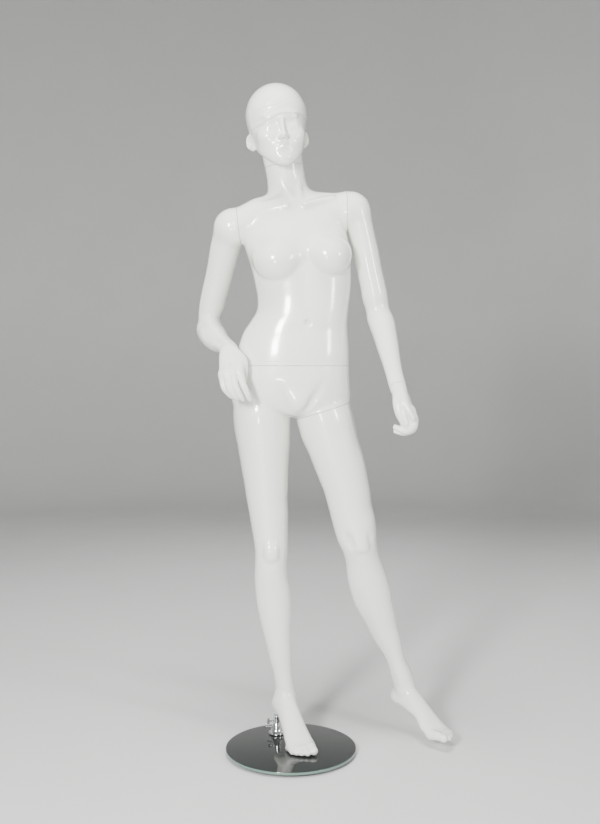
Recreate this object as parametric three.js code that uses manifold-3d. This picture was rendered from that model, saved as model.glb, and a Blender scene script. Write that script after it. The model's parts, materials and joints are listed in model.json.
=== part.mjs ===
// Full body display mannequin for a shop floor, on a round glass base.
//
// Millimetres, +Z up. The origin is on the floor under the centre of the glass base. The figure faces
// -Y, and +X is the figure's own left. The body is a set of hollow glass-fibre shells that come apart at
// flat seams: the torso lifts off a waist post, and the head, arms, hands and left leg turn on bayonet
// fittings. A vertical rod clamped in a cone on the base plugs into a socket in the right heel.

import * as THREE from "three";
import { mergeVertices } from "three/addons/utils/BufferGeometryUtils.js";
import Module from "manifold-3d";

const wasm = await Module();
wasm.setup();

// ---------------------------------------------------------------- driving dimensions

const WALL = 4.5; // thickness of the glass-fibre shells
const END_WALL = 9; // thickness of a shell's flat face at a seam
const SEAM_GAP = 0.8; // space between the two faces of a seam
const FIT_GAP = 0.3; // space around a part set into a shell
const HOLLOW_INSET = WALL + 2; // extra for the flats of the coarser inner surface
const ARM_INSET = WALL + 1;
const HEAD_INSET = WALL + 3;
const RECESS_BACK = 12; // how far a fitting's hole runs on behind the seam wall
const CUT_SIZE = 700; // size of the box that cuts a shell at a seam
const LIMB_CUT = 120; // the same for a wrist, clear of the rest of the figure
const NECK_CUT = 160;

const BASE = {
  radius: 175,
  underside: 6,
  top: 14,
  edge: 1.2,
  padRadius: 9,
  padCircle: 148,
  edgePads: 6,
  washerRadius: 10,
};
const SPIGOT = { x: -40, y: 95, radius: 5, bottom: 26, top: 108 };
const CONE = { bottom: 15.2, top: 66, footRadius: 23, neckRadius: 9.5 };
const BOLT = { radius: 4, headRadius: 7, headHeight: 2.8, washer: 1.4, top: 23.5 };
const SPIGOT_PLAY = 0.4; // round the rod in its socket
const CONE_PLAY = 0.2; // round the rod and the screws in the cone
const SOCKET = { radius: 8.5, bottom: 79, top: 112, boreFrom: 50 };
const THUMBSCREW = { height: 48, radius: 2.5, headRadius: 7, headWidth: 7, reach: 27 };
const SET_SCREW = { height: 33, radius: 2, headRadius: 3.4, headWidth: 4.5, reach: 30 };

// Each seam: a point on its plane and the direction from the part that stays to the part that comes off.
const SEAMS = {
  waist: { at: [2, 14, 1037], away: [0, 0, 1] },
  neck: { at: [-20, 27, 1577], away: [-0.09, 0, 0.996] },
  rightShoulder: { at: [-141, 20, 1416], away: [-0.993, 0, -0.119] },
  leftShoulder: { at: [151.5, 20, 1459], away: [0.9995, 0, 0.03] },
  rightWrist: { at: [-166, -42, 1083], away: [0.33, -0.885, -0.33] },
  leftWrist: { at: [280, -72, 984], away: [0.18, -0.51, -0.84] },
  leftThigh: { at: [80, 22, 914], away: [0.3, 0, -0.954] },
};

// Space inside a bayonet: past the lugs, beside the lugs, round the boss and behind the plate.
const BAYONET_PLAY = { reach: 0.8, slot: 1.5, boss: 0.5, behind: 0.6 };
const LUG_ROOM = 2; // round the lugs in the hole behind the plate

// Bayonet sizes: plate radius, boss radius, how far the lugs reach, plate and lug thickness.
const BAYONETS = {
  neck: { plate: 30, boss: 11, lug: 18, thick: 3, lugThick: 4 },
  rightShoulder: { plate: 32, boss: 12, lug: 20, thick: 3, lugThick: 4 },
  leftShoulder: { plate: 32, boss: 12, lug: 20, thick: 3, lugThick: 4 },
  rightWrist: { plate: 15, boss: 6, lug: 10, thick: 2, lugThick: 3 },
  leftWrist: { plate: 15, boss: 6, lug: 10, thick: 2, lugThick: 3 },
  leftThigh: { plate: 46, boss: 16, lug: 27, thick: 3.5, lugThick: 5 },
};

const WAIST = {
  plate: 70,
  thick: 4,
  post: 14,
  postHeight: 58,
  pin: 5,
  pinHeight: 24,
  pinOffset: 44,
  clearance: 0.6,
  rim: 12,
  hub: 9,
};

// ---------------------------------------------------------------- colours

const finish = (color, roughness, metalness) => ({
  color,
  roughness,
  metalness,
});
const FINISH = {
  gloss: finish(0xf2f1ec, 0.12, 0),
  steel: finish(0xb4b6ba, 0.35, 0.9),
  chrome: finish(0xe4e6ea, 0.08, 1),
  glass: finish(0x39443f, 0.05, 0),
  rubber: finish(0x24262a, 0.7, 0),
};

// ---------------------------------------------------------------- solids from geometries

// A closed three.js geometry as a manifold-3d solid.
function solid(geometry) {
  const bare = geometry.index ? geometry.toNonIndexed() : geometry.clone();
  bare.deleteAttribute("normal");
  bare.deleteAttribute("uv");
  const merged = mergeVertices(bare, 1e-3);
  return new wasm.Manifold(
    new wasm.Mesh({
      numProp: 3,
      vertProperties: merged.attributes.position.array,
      triVerts: new Uint32Array(merged.index.array),
    }),
  );
}

// A manifold-3d solid as a three.js geometry.
function geometryOf(made) {
  const mesh = made.getMesh();
  const geometry = new THREE.BufferGeometry();
  geometry.setAttribute(
    "position",
    new THREE.BufferAttribute(mesh.vertProperties, 3),
  );
  geometry.setIndex(new THREE.BufferAttribute(mesh.triVerts, 1));
  geometry.computeVertexNormals();
  return geometry;
}

const vec = (p) => new THREE.Vector3(...p);
const join = (...solids) => solids.reduce((all, next) => all.add(next));

function ellipsoid(centre, radii, turn = [0, 0, 0], around = 16, down = 10) {
  const geometry = new THREE.SphereGeometry(1, around, down);
  geometry.scale(...radii);
  geometry.applyMatrix4(
    new THREE.Matrix4().makeRotationFromEuler(new THREE.Euler(...turn)),
  );
  return solid(geometry.translate(...centre));
}

// A cylinder along Z, from one height to another.
function post(radius, from, to, segments = 24, x = 0, y = 0) {
  const geometry = new THREE.CylinderGeometry(
    radius,
    radius,
    to - from,
    segments,
  );
  geometry.rotateX(Math.PI / 2);
  return geometry.translate(x, y, (from + to) / 2);
}

const box = (x, y, from, to) =>
  new THREE.BoxGeometry(x, y, to - from).translate(0, 0, (from + to) / 2);

// A solid of revolution about Z from [radius, height] points that start and end on the axis.
function turned(points, segments = 32) {
  const profile = points.map(([r, z]) => new THREE.Vector2(r, z));
  return new THREE.LatheGeometry(profile, segments).rotateX(Math.PI / 2);
}

// ---------------------------------------------------------------- lofted body shapes

// Cubic interpolation through stations whose first number is the distance along the axis.
function sample(stations, s) {
  const last = stations.length - 2;
  let i = stations.findIndex((row, k) => k <= last && s <= stations[k + 1][0]);
  if (i < 0) i = last;
  const [p, q] = [stations[i], stations[i + 1]];
  const before = stations[Math.max(i - 1, 0)];
  const after = stations[Math.min(i + 2, stations.length - 1)];
  const span = q[0] - p[0];
  const t = (s - p[0]) / span;
  const [t2, t3] = [t * t, t * t * t];
  return p.map((value, k) => {
    const leave = ((q[k] - before[k]) / (q[0] - before[0])) * span;
    const arrive = ((after[k] - value) / (after[0] - p[0])) * span;
    const ends = (2 * t3 - 3 * t2 + 1) * value + (3 * t2 - 2 * t3) * q[k];
    return ends + (t3 - 2 * t2 + t) * leave + (t3 - t2) * arrive;
  });
}

// A frame along a straight axis: u runs along it, side is near +X, and back completes the section.
function axisFrame(from, to, sideHint = [1, 0, 0], backHint = [0, 1, 0]) {
  const u = vec(to).sub(vec(from)).normalize();
  const side = vec(sideHint);
  side.addScaledVector(u, -side.dot(u)).normalize();
  const back = new THREE.Vector3().crossVectors(u, side);
  if (back.dot(vec(backHint)) < 0) back.negate();
  return { origin: vec(from), u, side, back };
}

const UPRIGHT = axisFrame([0, 0, 0], [0, 0, 1]);

// A closed surface over stations [distance, side offset, back offset, half width, front, back].
// inset makes the same shape smaller all round, and trim shortens its two ends.
function loft(stations, options = {}) {
  const {
    frame = UPRIGHT,
    segments = 24,
    spans = 2,
    inset = 0,
    power = 2,
    trim = [0, 0],
  } = options;
  const low = stations[0][0] + trim[0];
  const high = stations.at(-1)[0] - trim[1];
  const stops = [low];
  for (let i = 0; i < stations.length - 1; i++) {
    for (let k = 1; k <= spans; k++) {
      const s =
        stations[i][0] +
        ((stations[i + 1][0] - stations[i][0]) * k) / spans;
      if (s > low + 1 && s < high - 1) stops.push(s);
    }
  }
  stops.push(high);
  const bulge = (v) => Math.sign(v) * Math.abs(v) ** (2 / power);
  const points = [];
  const place = (s, x, y) =>
    points.push(
      frame.origin
        .clone()
        .addScaledVector(frame.u, s)
        .addScaledVector(frame.side, x)
        .addScaledVector(frame.back, y),
    );
  for (const s of stops) {
    const [, x, y, width, front, back] = sample(stations, s);
    for (let k = 0; k < segments; k++) {
      const angle = (2 * Math.PI * k) / segments;
      const across = bulge(Math.cos(angle));
      const deep = bulge(Math.sin(angle));
      const depth = deep > 0 ? back : front;
      place(
        s,
        x + across * Math.max(width - inset, 1),
        y + deep * Math.max(depth - inset, 1),
      );
    }
  }
  const first = sample(stations, low);
  const final = sample(stations, high);
  place(low, first[1], first[2]);
  place(high, final[1], final[2]);
  const faces = [];
  const rings = stops.length;
  for (let r = 0; r < rings - 1; r++) {
    for (let k = 0; k < segments; k++) {
      const a = r * segments + k;
      const b = r * segments + ((k + 1) % segments);
      faces.push([a, b, b + segments], [a, b + segments, a + segments]);
    }
  }
  for (let k = 0; k < segments; k++) {
    const next = (k + 1) % segments;
    faces.push([rings * segments, next, k]);
    const top = (rings - 1) * segments;
    faces.push([rings * segments + 1, top + k, top + next]);
  }
  const cross = new THREE.Vector3().crossVectors(frame.side, frame.back);
  if (cross.dot(frame.u) < 0) faces.forEach((face) => face.reverse());
  const geometry = new THREE.BufferGeometry().setFromPoints(points);
  geometry.setIndex(faces.flat());
  return solid(geometry);
}

// A tapered finger or toe along a smooth curve through joints [x, y, z, radius].
function digit(joints, segments = 7, rings = 5) {
  const curve = new THREE.CatmullRomCurve3(
    joints.map(([x, y, z]) => new THREE.Vector3(x, y, z)),
  );
  const frames = curve.computeFrenetFrames(rings, false);
  const points = [];
  const faces = [];
  const last = joints.length - 1;
  for (let r = 0; r <= rings; r++) {
    const t = r / rings;
    const i = Math.min(Math.floor(t * last), last - 1);
    const blend = t * last - i;
    const radius = joints[i][3] * (1 - blend) + joints[i + 1][3] * blend;
    const centre = curve.getPoint(t);
    for (let k = 0; k < segments; k++) {
      const angle = (2 * Math.PI * k) / segments;
      points.push(
        centre
          .clone()
          .addScaledVector(frames.normals[r], radius * Math.cos(angle))
          .addScaledVector(frames.binormals[r], radius * Math.sin(angle)),
      );
    }
  }
  const tipReach = joints[last][3] * 0.8;
  points.push(curve.getPoint(0));
  points.push(
    curve.getPoint(1).addScaledVector(frames.tangents[rings], tipReach),
  );
  const [start, tip] = [points.length - 2, points.length - 1];
  for (let r = 0; r < rings; r++) {
    for (let k = 0; k < segments; k++) {
      const a = r * segments + k;
      const b = r * segments + ((k + 1) % segments);
      faces.push(a, b, b + segments, a, b + segments, a + segments);
    }
  }
  for (let k = 0; k < segments; k++) {
    const next = (k + 1) % segments;
    faces.push(start, next, k);
    faces.push(tip, rings * segments + k, rings * segments + next);
  }
  const geometry = new THREE.BufferGeometry().setFromPoints(points);
  geometry.setIndex(faces);
  return solid(geometry);
}

// ---------------------------------------------------------------- seams and fittings

// The matrix that puts local +Z along a seam's direction, with its origin on the seam.
function seamMatrix(seam) {
  const away = vec(seam.away).normalize();
  const hint = new THREE.Vector3(0, 1, 0);
  if (Math.abs(away.y) > 0.8) hint.set(0, 0, 1);
  const x = new THREE.Vector3().crossVectors(hint, away).normalize();
  const y = new THREE.Vector3().crossVectors(away, x);
  return new THREE.Matrix4().makeBasis(x, y, away).setPosition(...seam.at);
}

const placed = (geometry, seam) =>
  solid(geometry.clone().applyMatrix4(seamMatrix(seam)));

// Everything on the far side of a seam, or on the near side.
const beyond = (seam, size = CUT_SIZE) =>
  placed(box(size, size, -SEAM_GAP / 2, size), seam);
const before = (seam, size = CUT_SIZE) =>
  placed(box(size, size, -size, SEAM_GAP / 2), seam);

const span = (a, b) => [Math.min(a, b), Math.max(a, b)];

// The recess and the hole that a bayonet needs in the shell on one side of a seam.
function pocket(seam, fit, farSide) {
  const sign = farSide ? 1 : -1;
  const face = (sign * SEAM_GAP) / 2;
  const floor = face + sign * (fit.thick + FIT_GAP);
  const inside = face + sign * (END_WALL + RECESS_BACK);
  const recess = post(fit.plate + FIT_GAP, ...span(face - sign, floor), 24);
  const hole = post(fit.lug + LUG_ROOM, ...span(face - sign, inside), 16);
  return placed(recess, seam).add(placed(hole, seam));
}

// The slotted plate that stays: the lugs pass through its slots and turn behind it.
function bayonetPlate(fit) {
  const top = -SEAM_GAP / 2;
  const bottom = top - fit.thick;
  const slot = box(
    2 * (fit.lug + BAYONET_PLAY.reach),
    fit.boss + BAYONET_PLAY.slot,
    bottom - 1,
    top + 1,
  ).rotateZ(Math.PI / 2);
  return solid(post(fit.plate, bottom, top, 24))
    .subtract(solid(post(fit.boss + BAYONET_PLAY.boss, bottom - 1, top + 1, 16)))
    .subtract(solid(slot));
}

// The flange that comes off, with its boss and the two lugs that lock behind the plate.
function bayonetBoss(fit) {
  const face = SEAM_GAP / 2;
  const lugTop = -SEAM_GAP / 2 - fit.thick - BAYONET_PLAY.behind;
  const lugBottom = lugTop - fit.lugThick;
  return join(
    solid(post(fit.plate, face, face + fit.thick, 24)),
    solid(post(fit.boss, lugBottom, face + 0.5, 16)),
    solid(box(2 * fit.lug, fit.boss, lugBottom, lugTop)),
  );
}

// ---------------------------------------------------------------- the body, one shape at a time

// Trunk stations are heights: [height, centre x, centre y, half width, front, back].
const TRUNK = [
  [890, 4, 26, 120, 48, 56],
  [902, 4, 25, 148, 74, 82],
  [922, 3, 24, 160, 92, 98],
  [950, 0, 22, 162, 102, 102],
  [985, 0, 19, 159, 104, 96],
  [1037, 2, 14, 154.5, 100, 84],
  [1070, 5, 11, 151, 96, 73],
  [1105, 9, 9, 145, 91, 65],
  [1130, 13, 8, 139, 87, 63],
  [1155, 21, 6, 130.5, 83, 63],
  [1185, 31, 5, 123, 80, 65],
  [1215, 34, 6, 123.5, 80, 69],
  [1250, 33, 9, 128, 83, 75],
  [1290, 29, 13, 133, 87, 81],
  [1330, 22, 17, 138, 89, 84],
  [1370, 13, 20, 142, 88, 86],
  [1400, 10, 22, 140, 84, 86],
  [1430, 10, 24, 137, 76, 84],
  [1452, 12, 26, 128, 66, 80],
];

// The shoulder girdle, along +X: [distance, back offset, height offset, half depth, below, above].
const YOKE_FROM = [-150, 20, 1414];
const YOKE_TO = [160, 20, 1460];
const YOKE = [
  [0, 0, 0, 45, 47, 47],
  [30, 1, 11, 50, 52, 50],
  [58, 3, 22, 56, 58, 52],
  [90, 6, 27, 60, 70, 58],
  [150, 9, 26, 62, 76, 70],
  [200, 8, 22, 60, 74, 64],
  [245, 5, 10, 54, 64, 56],
  [280, 2, 2, 49, 54, 51],
  [313, 0, 0, 46, 50, 50],
];

const NECK_FROM = [2, 44, 1462];
const NECK_TO = [-24, 20, 1608];
const NECK = [
  [0, 2, 0, 80, 66, 60],
  [25, 0, 0, 67, 60, 56],
  [48, -1, 0, 57, 55, 53],
  [72, 0, 0, 51, 52, 51],
  [100, 0, 0, 49.5, 51, 50],
  [125, 0, 0, 49.5, 52, 50],
  [150, 0, 2, 50, 56, 50],
];

const BREASTS = [
  { at: [-34, -50, 1310], size: [61, 54, 60] },
  { at: [92, -50, 1322], size: [61, 54, 60] },
];
const BUTTOCKS = [
  { at: [-70, 66, 930], size: [78, 60, 92] },
  { at: [74, 66, 935], size: [76, 58, 86] },
];

// The right leg, by height, from the ankle up.
const RIGHT_LEG = [
  [96, -15, 84, 29, 30, 28],
  [120, -16, 84, 29.5, 32, 30],
  [155, -18, 80, 26.5, 33, 31],
  [190, -23, 73, 26.5, 31, 35],
  [225, -28, 66, 30, 32, 40],
  [260, -32, 60, 33, 35, 46],
  [295, -37, 54, 37, 38, 51],
  [330, -41, 48, 41, 41, 55],
  [365, -44, 42, 45, 44, 57],
  [400, -47, 36, 47.5, 46, 57],
  [435, -50, 29, 47.5, 48, 54],
  [470, -54, 22, 45, 51, 50],
  [505, -54, 17, 43.5, 54, 49],
  [540, -53, 15, 44.5, 55, 50],
  [575, -55, 15, 47, 55, 53],
  [610, -58, 16, 50, 57, 57],
  [645, -61, 17, 53, 60, 61],
  [680, -65, 18, 55.5, 64, 64],
  [715, -67, 19, 59, 68, 67],
  [750, -70, 20, 62.5, 72, 71],
  [785, -72, 21, 66.5, 76, 75],
  [820, -74, 22, 70.5, 80, 79],
  [855, -77, 24, 74.5, 84, 84],
  [890, -79, 25, 78, 87, 88],
  [930, -80, 26, 76, 84, 88],
];

// The left leg, by distance from the hip along a straight axis to the ankle.
const LEFT_HIP = [76, 26, 940];
const LEFT_ANKLE = [326, 142, 118];
const LEFT_LEG = [
  [0, 2, -6, 74, 80, 84],
  [45, 3, -10, 77, 82, 84],
  [85, 2, -14, 75, 80, 82],
  [120, 4, -19, 71, 77, 78],
  [158, 5, -24, 68, 73, 74],
  [195, 5, -28, 66, 69, 70],
  [232, 5, -32, 63, 65, 66],
  [268, 3, -36, 60, 61, 62],
  [305, 0, -39, 58, 58, 58],
  [340, -2, -42, 57, 57, 54],
  [376, -5, -44, 55, 57, 51],
  [410, -7, -42, 49, 54, 50],
  [445, -9, -37, 48, 49, 52],
  [482, -12, -32, 51, 46, 56],
  [518, -13, -27, 54, 45, 58],
  [555, -14, -22, 53, 43, 57],
  [592, -14, -18, 50, 40, 54],
  [628, -12, -14, 45, 37, 49],
  [665, -11, -10, 40, 34, 44],
  [702, -9, -7, 36, 32, 39],
  [738, -6, -3, 30, 31, 34],
  [775, -3, 0, 27, 32, 31],
  [812, -1, 0, 30, 34, 30],
  [856, 0, 0, 30, 34, 28],
];

// A foot on tiptoe, from the back of the heel to the tip of the toes:
// [distance, side offset, height, half width, down, up].
const FOOT = [
  [0, 0, 104, 9, 10, 14],
  [7, 0, 102, 18, 19, 20],
  [22, 0, 99, 28, 22, 30],
  [45, 0, 96, 31, 22, 46],
  [70, 0, 88, 30.5, 23, 48],
  [95, 0, 73, 31.5, 25, 44],
  [120, 0, 56, 33, 24, 38],
  [145, 0, 40, 36, 20, 32],
  [165, -1, 32, 38.5, 15.5, 23],
  [183, -2, 28, 39, 12, 15],
  [202, -3, 25.5, 36, 9, 9],
  [215, -5, 24.5, 28, 7.5, 6],
  [223, -8, 24, 13, 5, 4],
];
const RIGHT_FOOT = { heel: [-35, 121, 0], toe: [48, -92, 0] };
const LEFT_FOOT = { heel: [292, 178, 1], toe: [428, 6, 9] };

const RIGHT_SHOULDER = { at: [-158, 20, 1412], size: [48, 46, 52] };
const LEFT_SHOULDER = { at: [163.5, 20, 1459], size: [50, 46, 51] };
const RIGHT_UPPER_ARM = {
  from: [-160, 20, 1440],
  to: [-236, 143, 1162],
  stations: [
    [0, 0, 0, 34, 36, 36],
    [30, 1, 0, 42, 44, 43],
    [60, 2, 0, 43, 44, 43],
    [100, 1, 0, 40.5, 42, 41],
    [145, 2, 0, 38.5, 40, 39],
    [190, 2, 0, 38, 38, 37],
    [235, 1, 0, 37.5, 37, 36],
    [275, 1, 0, 36.5, 36, 36],
    [310, 0, 0, 33, 32, 34],
    [330, 0, 0, 22, 22, 22],
  ],
};
const RIGHT_FOREARM = {
  from: [-240, 156, 1158],
  to: [-166, -42, 1083],
  stations: [
    [0, 0, 0, 22, 26, 22],
    [14, 0, 0, 32, 33, 30],
    [40, -3, 2, 38, 36, 35],
    [75, -6, 5, 38.5, 36, 36],
    [110, -7, 6, 36, 34, 34],
    [150, -6, 6, 31, 29, 29],
    [190, -2, 3, 26, 23, 23],
    [224, 0, 0, 25, 20, 20],
    [260, 0, 0, 25, 19, 19],
  ],
};
const LEFT_UPPER_ARM = {
  from: [168, 20, 1486],
  to: [240, 42, 1172],
  stations: [
    [0, 7, 0, 26, 30, 30],
    [30, 6, 0, 33, 40, 40],
    [75, 4, 0, 34, 42, 42],
    [108, 4, 0, 34, 41, 41],
    [150, 3, 0, 35, 40, 40],
    [200, 2, 0, 34, 38, 38],
    [240, 2, 0, 34.5, 37, 37],
    [280, 1, 0, 37, 36, 37],
    [318, 1, 0, 35, 34, 36],
    [345, 1, 0, 24, 26, 26],
  ],
};
const LEFT_FOREARM = {
  from: [236, 52, 1190],
  to: [280, -72, 984],
  stations: [
    [0, 0, 0, 28, 28, 26],
    [20, 1, 0, 35, 35, 34],
    [50, 3, 0, 35, 36, 36],
    [85, 3, 0, 32, 35, 35],
    [125, 2, 0, 29, 31, 31],
    [165, 1, 0, 25, 26, 26],
    [205, 0, 0, 22.5, 22, 22],
    [244, 0, 0, 23, 20.5, 20.5],
    [275, 0, 0, 24, 20, 20],
  ],
};

// The head in its own frame: origin at its middle, +Z up through the crown, -Y out of the face.
const HEAD_AT = [-37, 8, 1690];
const HEAD_TURN = new THREE.Euler(0, -0.096, 0.21, "ZYX");
const HEAD = [
  [-113, 0, -52, 14, 14, 14],
  [-106, 0, -46, 30, 30, 30],
  [-95, 0, -34, 43, 44, 42],
  [-80, 0, -22, 56, 61, 58],
  [-55, 0, -10, 68, 78, 76],
  [-30, 0, 0, 74.5, 89, 90],
  [-5, 0, 6, 78, 94, 96],
  [20, 0, 8, 79.5, 94, 97],
  [45, 0, 8, 77, 88, 93],
  [70, 0, 9, 69.5, 78, 83],
  [90, 0, 9, 56.5, 63, 68],
  [104, 0, 10, 37, 42, 45],
  [111, 0, 10, 12, 14, 15],
];

const rounded = (part) => ellipsoid(part.at, part.size, [0, 0, 0], 12, 8);

const armLoft = (part, options = {}) =>
  loft(part.stations, {
    frame: axisFrame(part.from, part.to),
    segments: 12,
    spans: 1,
    ...options,
  });

function footLoft(foot, options = {}) {
  const along = axisFrame(foot.heel, foot.toe, [1, 0, 0], [0, 0, 1]);
  along.side = new THREE.Vector3().crossVectors(along.u, along.back);
  if (along.side.x < 0) along.side.negate();
  return loft(FOOT, { frame: along, segments: 12, spans: 1, ...options });
}

// ---------------------------------------------------------------- shells

function torsoShell() {
  const yoke = axisFrame(YOKE_FROM, YOKE_TO, [0, 1, 0], [0, 0, 1]);
  const neck = axisFrame(NECK_FROM, NECK_TO);
  const trunk = TRUNK.slice(4);
  const toWaist = SEAMS.waist.at[2] - trunk[0][0];
  const outer = join(
    loft(trunk, { segments: 20, spans: 1, power: 2.25 }),
    loft(YOKE, { frame: yoke, segments: 14, spans: 1 }),
    loft(NECK, { frame: neck, segments: 14, spans: 1 }),
    ...BREASTS.map(rounded),
  );
  const room = { inset: HOLLOW_INSET, spans: 1, power: 2.2 };
  const hollow = join(
    loft(trunk, {
      ...room,
      segments: 10,
      trim: [toWaist + END_WALL, 18],
    }),
    loft(YOKE, { frame: yoke, ...room, segments: 8, trim: [22, 22] }),
    loft(NECK, { frame: neck, ...room, segments: 8, trim: [0, 44] }),
  );
  return outer
    .subtract(before(SEAMS.waist))
    .subtract(beyond(SEAMS.neck, NECK_CUT))
    .subtract(shoulderCut(SEAMS.rightShoulder))
    .subtract(shoulderCut(SEAMS.leftShoulder))
    .subtract(hollow)
    .subtract(pocket(SEAMS.neck, BAYONETS.neck, false))
    .subtract(pocket(SEAMS.rightShoulder, BAYONETS.rightShoulder, false))
    .subtract(pocket(SEAMS.leftShoulder, BAYONETS.leftShoulder, false))
    .subtract(waistPocket(1));
}

// Only the shoulder is cut at its seam: the ribs below the armpit reach past the seam's plane.
function shoulderCut(seam) {
  return placed(
    new THREE.BoxGeometry(104, 160, 90).translate(0, 0, 45 - SEAM_GAP / 2),
    seam,
  );
}

function waistPocket(sign) {
  const face = (sign * SEAM_GAP) / 2;
  const floor = face + sign * (WAIST.thick + FIT_GAP);
  const inside = face + sign * (END_WALL + RECESS_BACK);
  return join(
    placed(
      post(WAIST.plate + FIT_GAP, ...span(face - sign, floor), 32),
      SEAMS.waist,
    ),
    placed(post(WAIST.plate - WAIST.rim, ...span(face, inside), 24), SEAMS.waist),
  );
}

function lowerBodyShell() {
  const pelvis = TRUNK.slice(0, 7);
  const aboveWaist = pelvis.at(-1)[0] - SEAMS.waist.at[2];
  const outer = join(
    loft(pelvis, { segments: 20, spans: 1, power: 2.15 }),
    loft(RIGHT_LEG, { segments: 14, spans: 1 }),
    leftThighStub(),
    footLoft(RIGHT_FOOT),
    ...BUTTOCKS.map(rounded),
  );
  const room = { inset: HOLLOW_INSET, spans: 1 };
  const hollow = join(
    loft(pelvis, {
      ...room,
      segments: 10,
      power: 2.1,
      trim: [14, aboveWaist + END_WALL],
    }),
    loft(RIGHT_LEG.slice(2), { ...room, segments: 8 }),
  ).subtract(thighCut(END_WALL));
  return outer
    .subtract(beyond(SEAMS.waist))
    .subtract(thighCut(0))
    .subtract(hollow)
    .subtract(waistPocket(-1))
    .subtract(pocket(SEAMS.leftThigh, BAYONETS.leftThigh, false))
    .subtract(heelBore());
}

// The hole in the heel that the metal socket is set into.
const heelBore = () =>
  solid(
    post(
      SOCKET.radius + FIT_GAP,
      SOCKET.boreFrom,
      SOCKET.top + FIT_GAP,
      24,
      SPIGOT.x,
      SPIGOT.y,
    ),
  );

const leftLegFrame = axisFrame(LEFT_HIP, LEFT_ANKLE);

// The top of the left thigh, which stays on the pelvis above the seam.
const leftThighStub = () =>
  loft(LEFT_LEG.slice(0, 4), { frame: leftLegFrame, segments: 14, spans: 1 });

// The space below the thigh seam, on the left leg's side of the crotch.
const thighCut = (standOff) =>
  placed(
    new THREE.BoxGeometry(196, 300, 300).translate(
      -14,
      0,
      150 - SEAM_GAP / 2 - standOff,
    ),
    SEAMS.leftThigh,
  );

function leftLegShell() {
  const leg = { frame: leftLegFrame, spans: 1 };
  const outer = loft(LEFT_LEG, { ...leg, segments: 14 }).add(
    footLoft(LEFT_FOOT),
  );
  const hollow = loft(LEFT_LEG.slice(0, -4), {
    ...leg,
    inset: HOLLOW_INSET,
    segments: 8,
    trim: [33 + END_WALL, 0],
  });
  return outer
    .subtract(before(SEAMS.leftThigh))
    .subtract(hollow)
    .subtract(pocket(SEAMS.leftThigh, BAYONETS.leftThigh, true));
}

function armShell(cap, upper, fore, shoulderSeam, shoulderFit, wristSeam, wristFit) {
  const outer = join(
    rounded(cap),
    armLoft(upper),
    armLoft(fore),
  );
  const room = { inset: ARM_INSET, segments: 7 };
  const hollow = armLoft(upper, { ...room, trim: [24, 12] }).add(
    armLoft(fore, { ...room, trim: [14, 26] }),
  );
  return outer
    .subtract(before(shoulderSeam))
    .subtract(beyond(wristSeam, LIMB_CUT))
    .subtract(hollow)
    .subtract(pocket(shoulderSeam, shoulderFit, true))
    .subtract(pocket(wristSeam, wristFit, false));
}

function headShell() {
  const place = new THREE.Matrix4()
    .makeRotationFromEuler(HEAD_TURN)
    .setPosition(...HEAD_AT);
  const turn = (made) => {
    const geometry = geometryOf(made);
    geometry.deleteAttribute("normal");
    return solid(geometry.applyMatrix4(place));
  };
  const neck = axisFrame(NECK_FROM, NECK_TO);
  const skull = join(
    loft(HEAD, { segments: 18, spans: 1 }),
    ellipsoid([0, -90, -36], [12, 16, 22], [0.2, 0, 0], 8, 6),
    ellipsoid([73, 12, -44], [11, 16, 24], [0, 0.18, 0.3], 8, 6),
    ellipsoid([-73, 12, -46], [11, 16, 25], [0, -0.18, -0.3], 8, 6),
  );
  const hollow = loft(HEAD, {
    segments: 9,
    spans: 1,
    inset: HEAD_INSET,
    trim: [26, 12],
  });
  const neckRoom = placed(post(30, END_WALL, 52, 20), SEAMS.neck);
  const stub = loft(NECK.slice(4), { frame: neck, segments: 14, spans: 1 });
  return turn(skull)
    .add(stub.subtract(before(SEAMS.neck)))
    .subtract(turn(hollow))
    .subtract(neckRoom)
    .subtract(pocket(SEAMS.neck, BAYONETS.neck, true));
}

// ---------------------------------------------------------------- hands

// Palm stations run along the hand from the wrist bend: [distance, side, back, half width, front, back].
const PALM = [
  [-18, 0, 0, 19, 14, 14],
  [-6, 0, 0, 25, 17, 17],
  [12, 0, 0, 28, 16, 17],
  [34, 1, 0, 30.5, 14, 16],
  [58, 1, 0, 32, 12, 14],
  [76, 0, 0, 31, 10, 11],
  [88, 0, 0, 25, 7, 7],
];

// Digits are chains of joints [x, y, z, radius] from the knuckle to the fingertip, thumb first.
const RIGHT_HAND = {
  bend: [-162, -54, 1078],
  along: [0.11, -0.7, -0.7],
  thumb: [0.96, -0.03, 0.25],
  seam: SEAMS.rightWrist,
  digits: [
    [[-146, -66, 1068, 14], [-124, -80, 1052, 12], [-120, -88, 1026, 10], [-122, -88, 1000, 7.6]],
    [[-133, -104, 1030, 10], [-123, -122, 994, 8.8], [-112, -122, 968, 7.6], [-105, -114, 951, 6]],
    [[-150, -108, 1026, 10], [-141, -127, 988, 9], [-130, -125, 964, 7.8], [-122, -117, 951, 6]],
    [[-165, -107, 1020, 9.8], [-158, -125, 985, 8.6], [-146, -122, 964, 7.4], [-137, -114, 953, 6]],
    [[-177, -102, 1013, 9], [-172, -117, 984, 7.6], [-161, -112, 967, 6.8], [-151, -105, 957, 5.6]],
  ],
};
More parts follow.
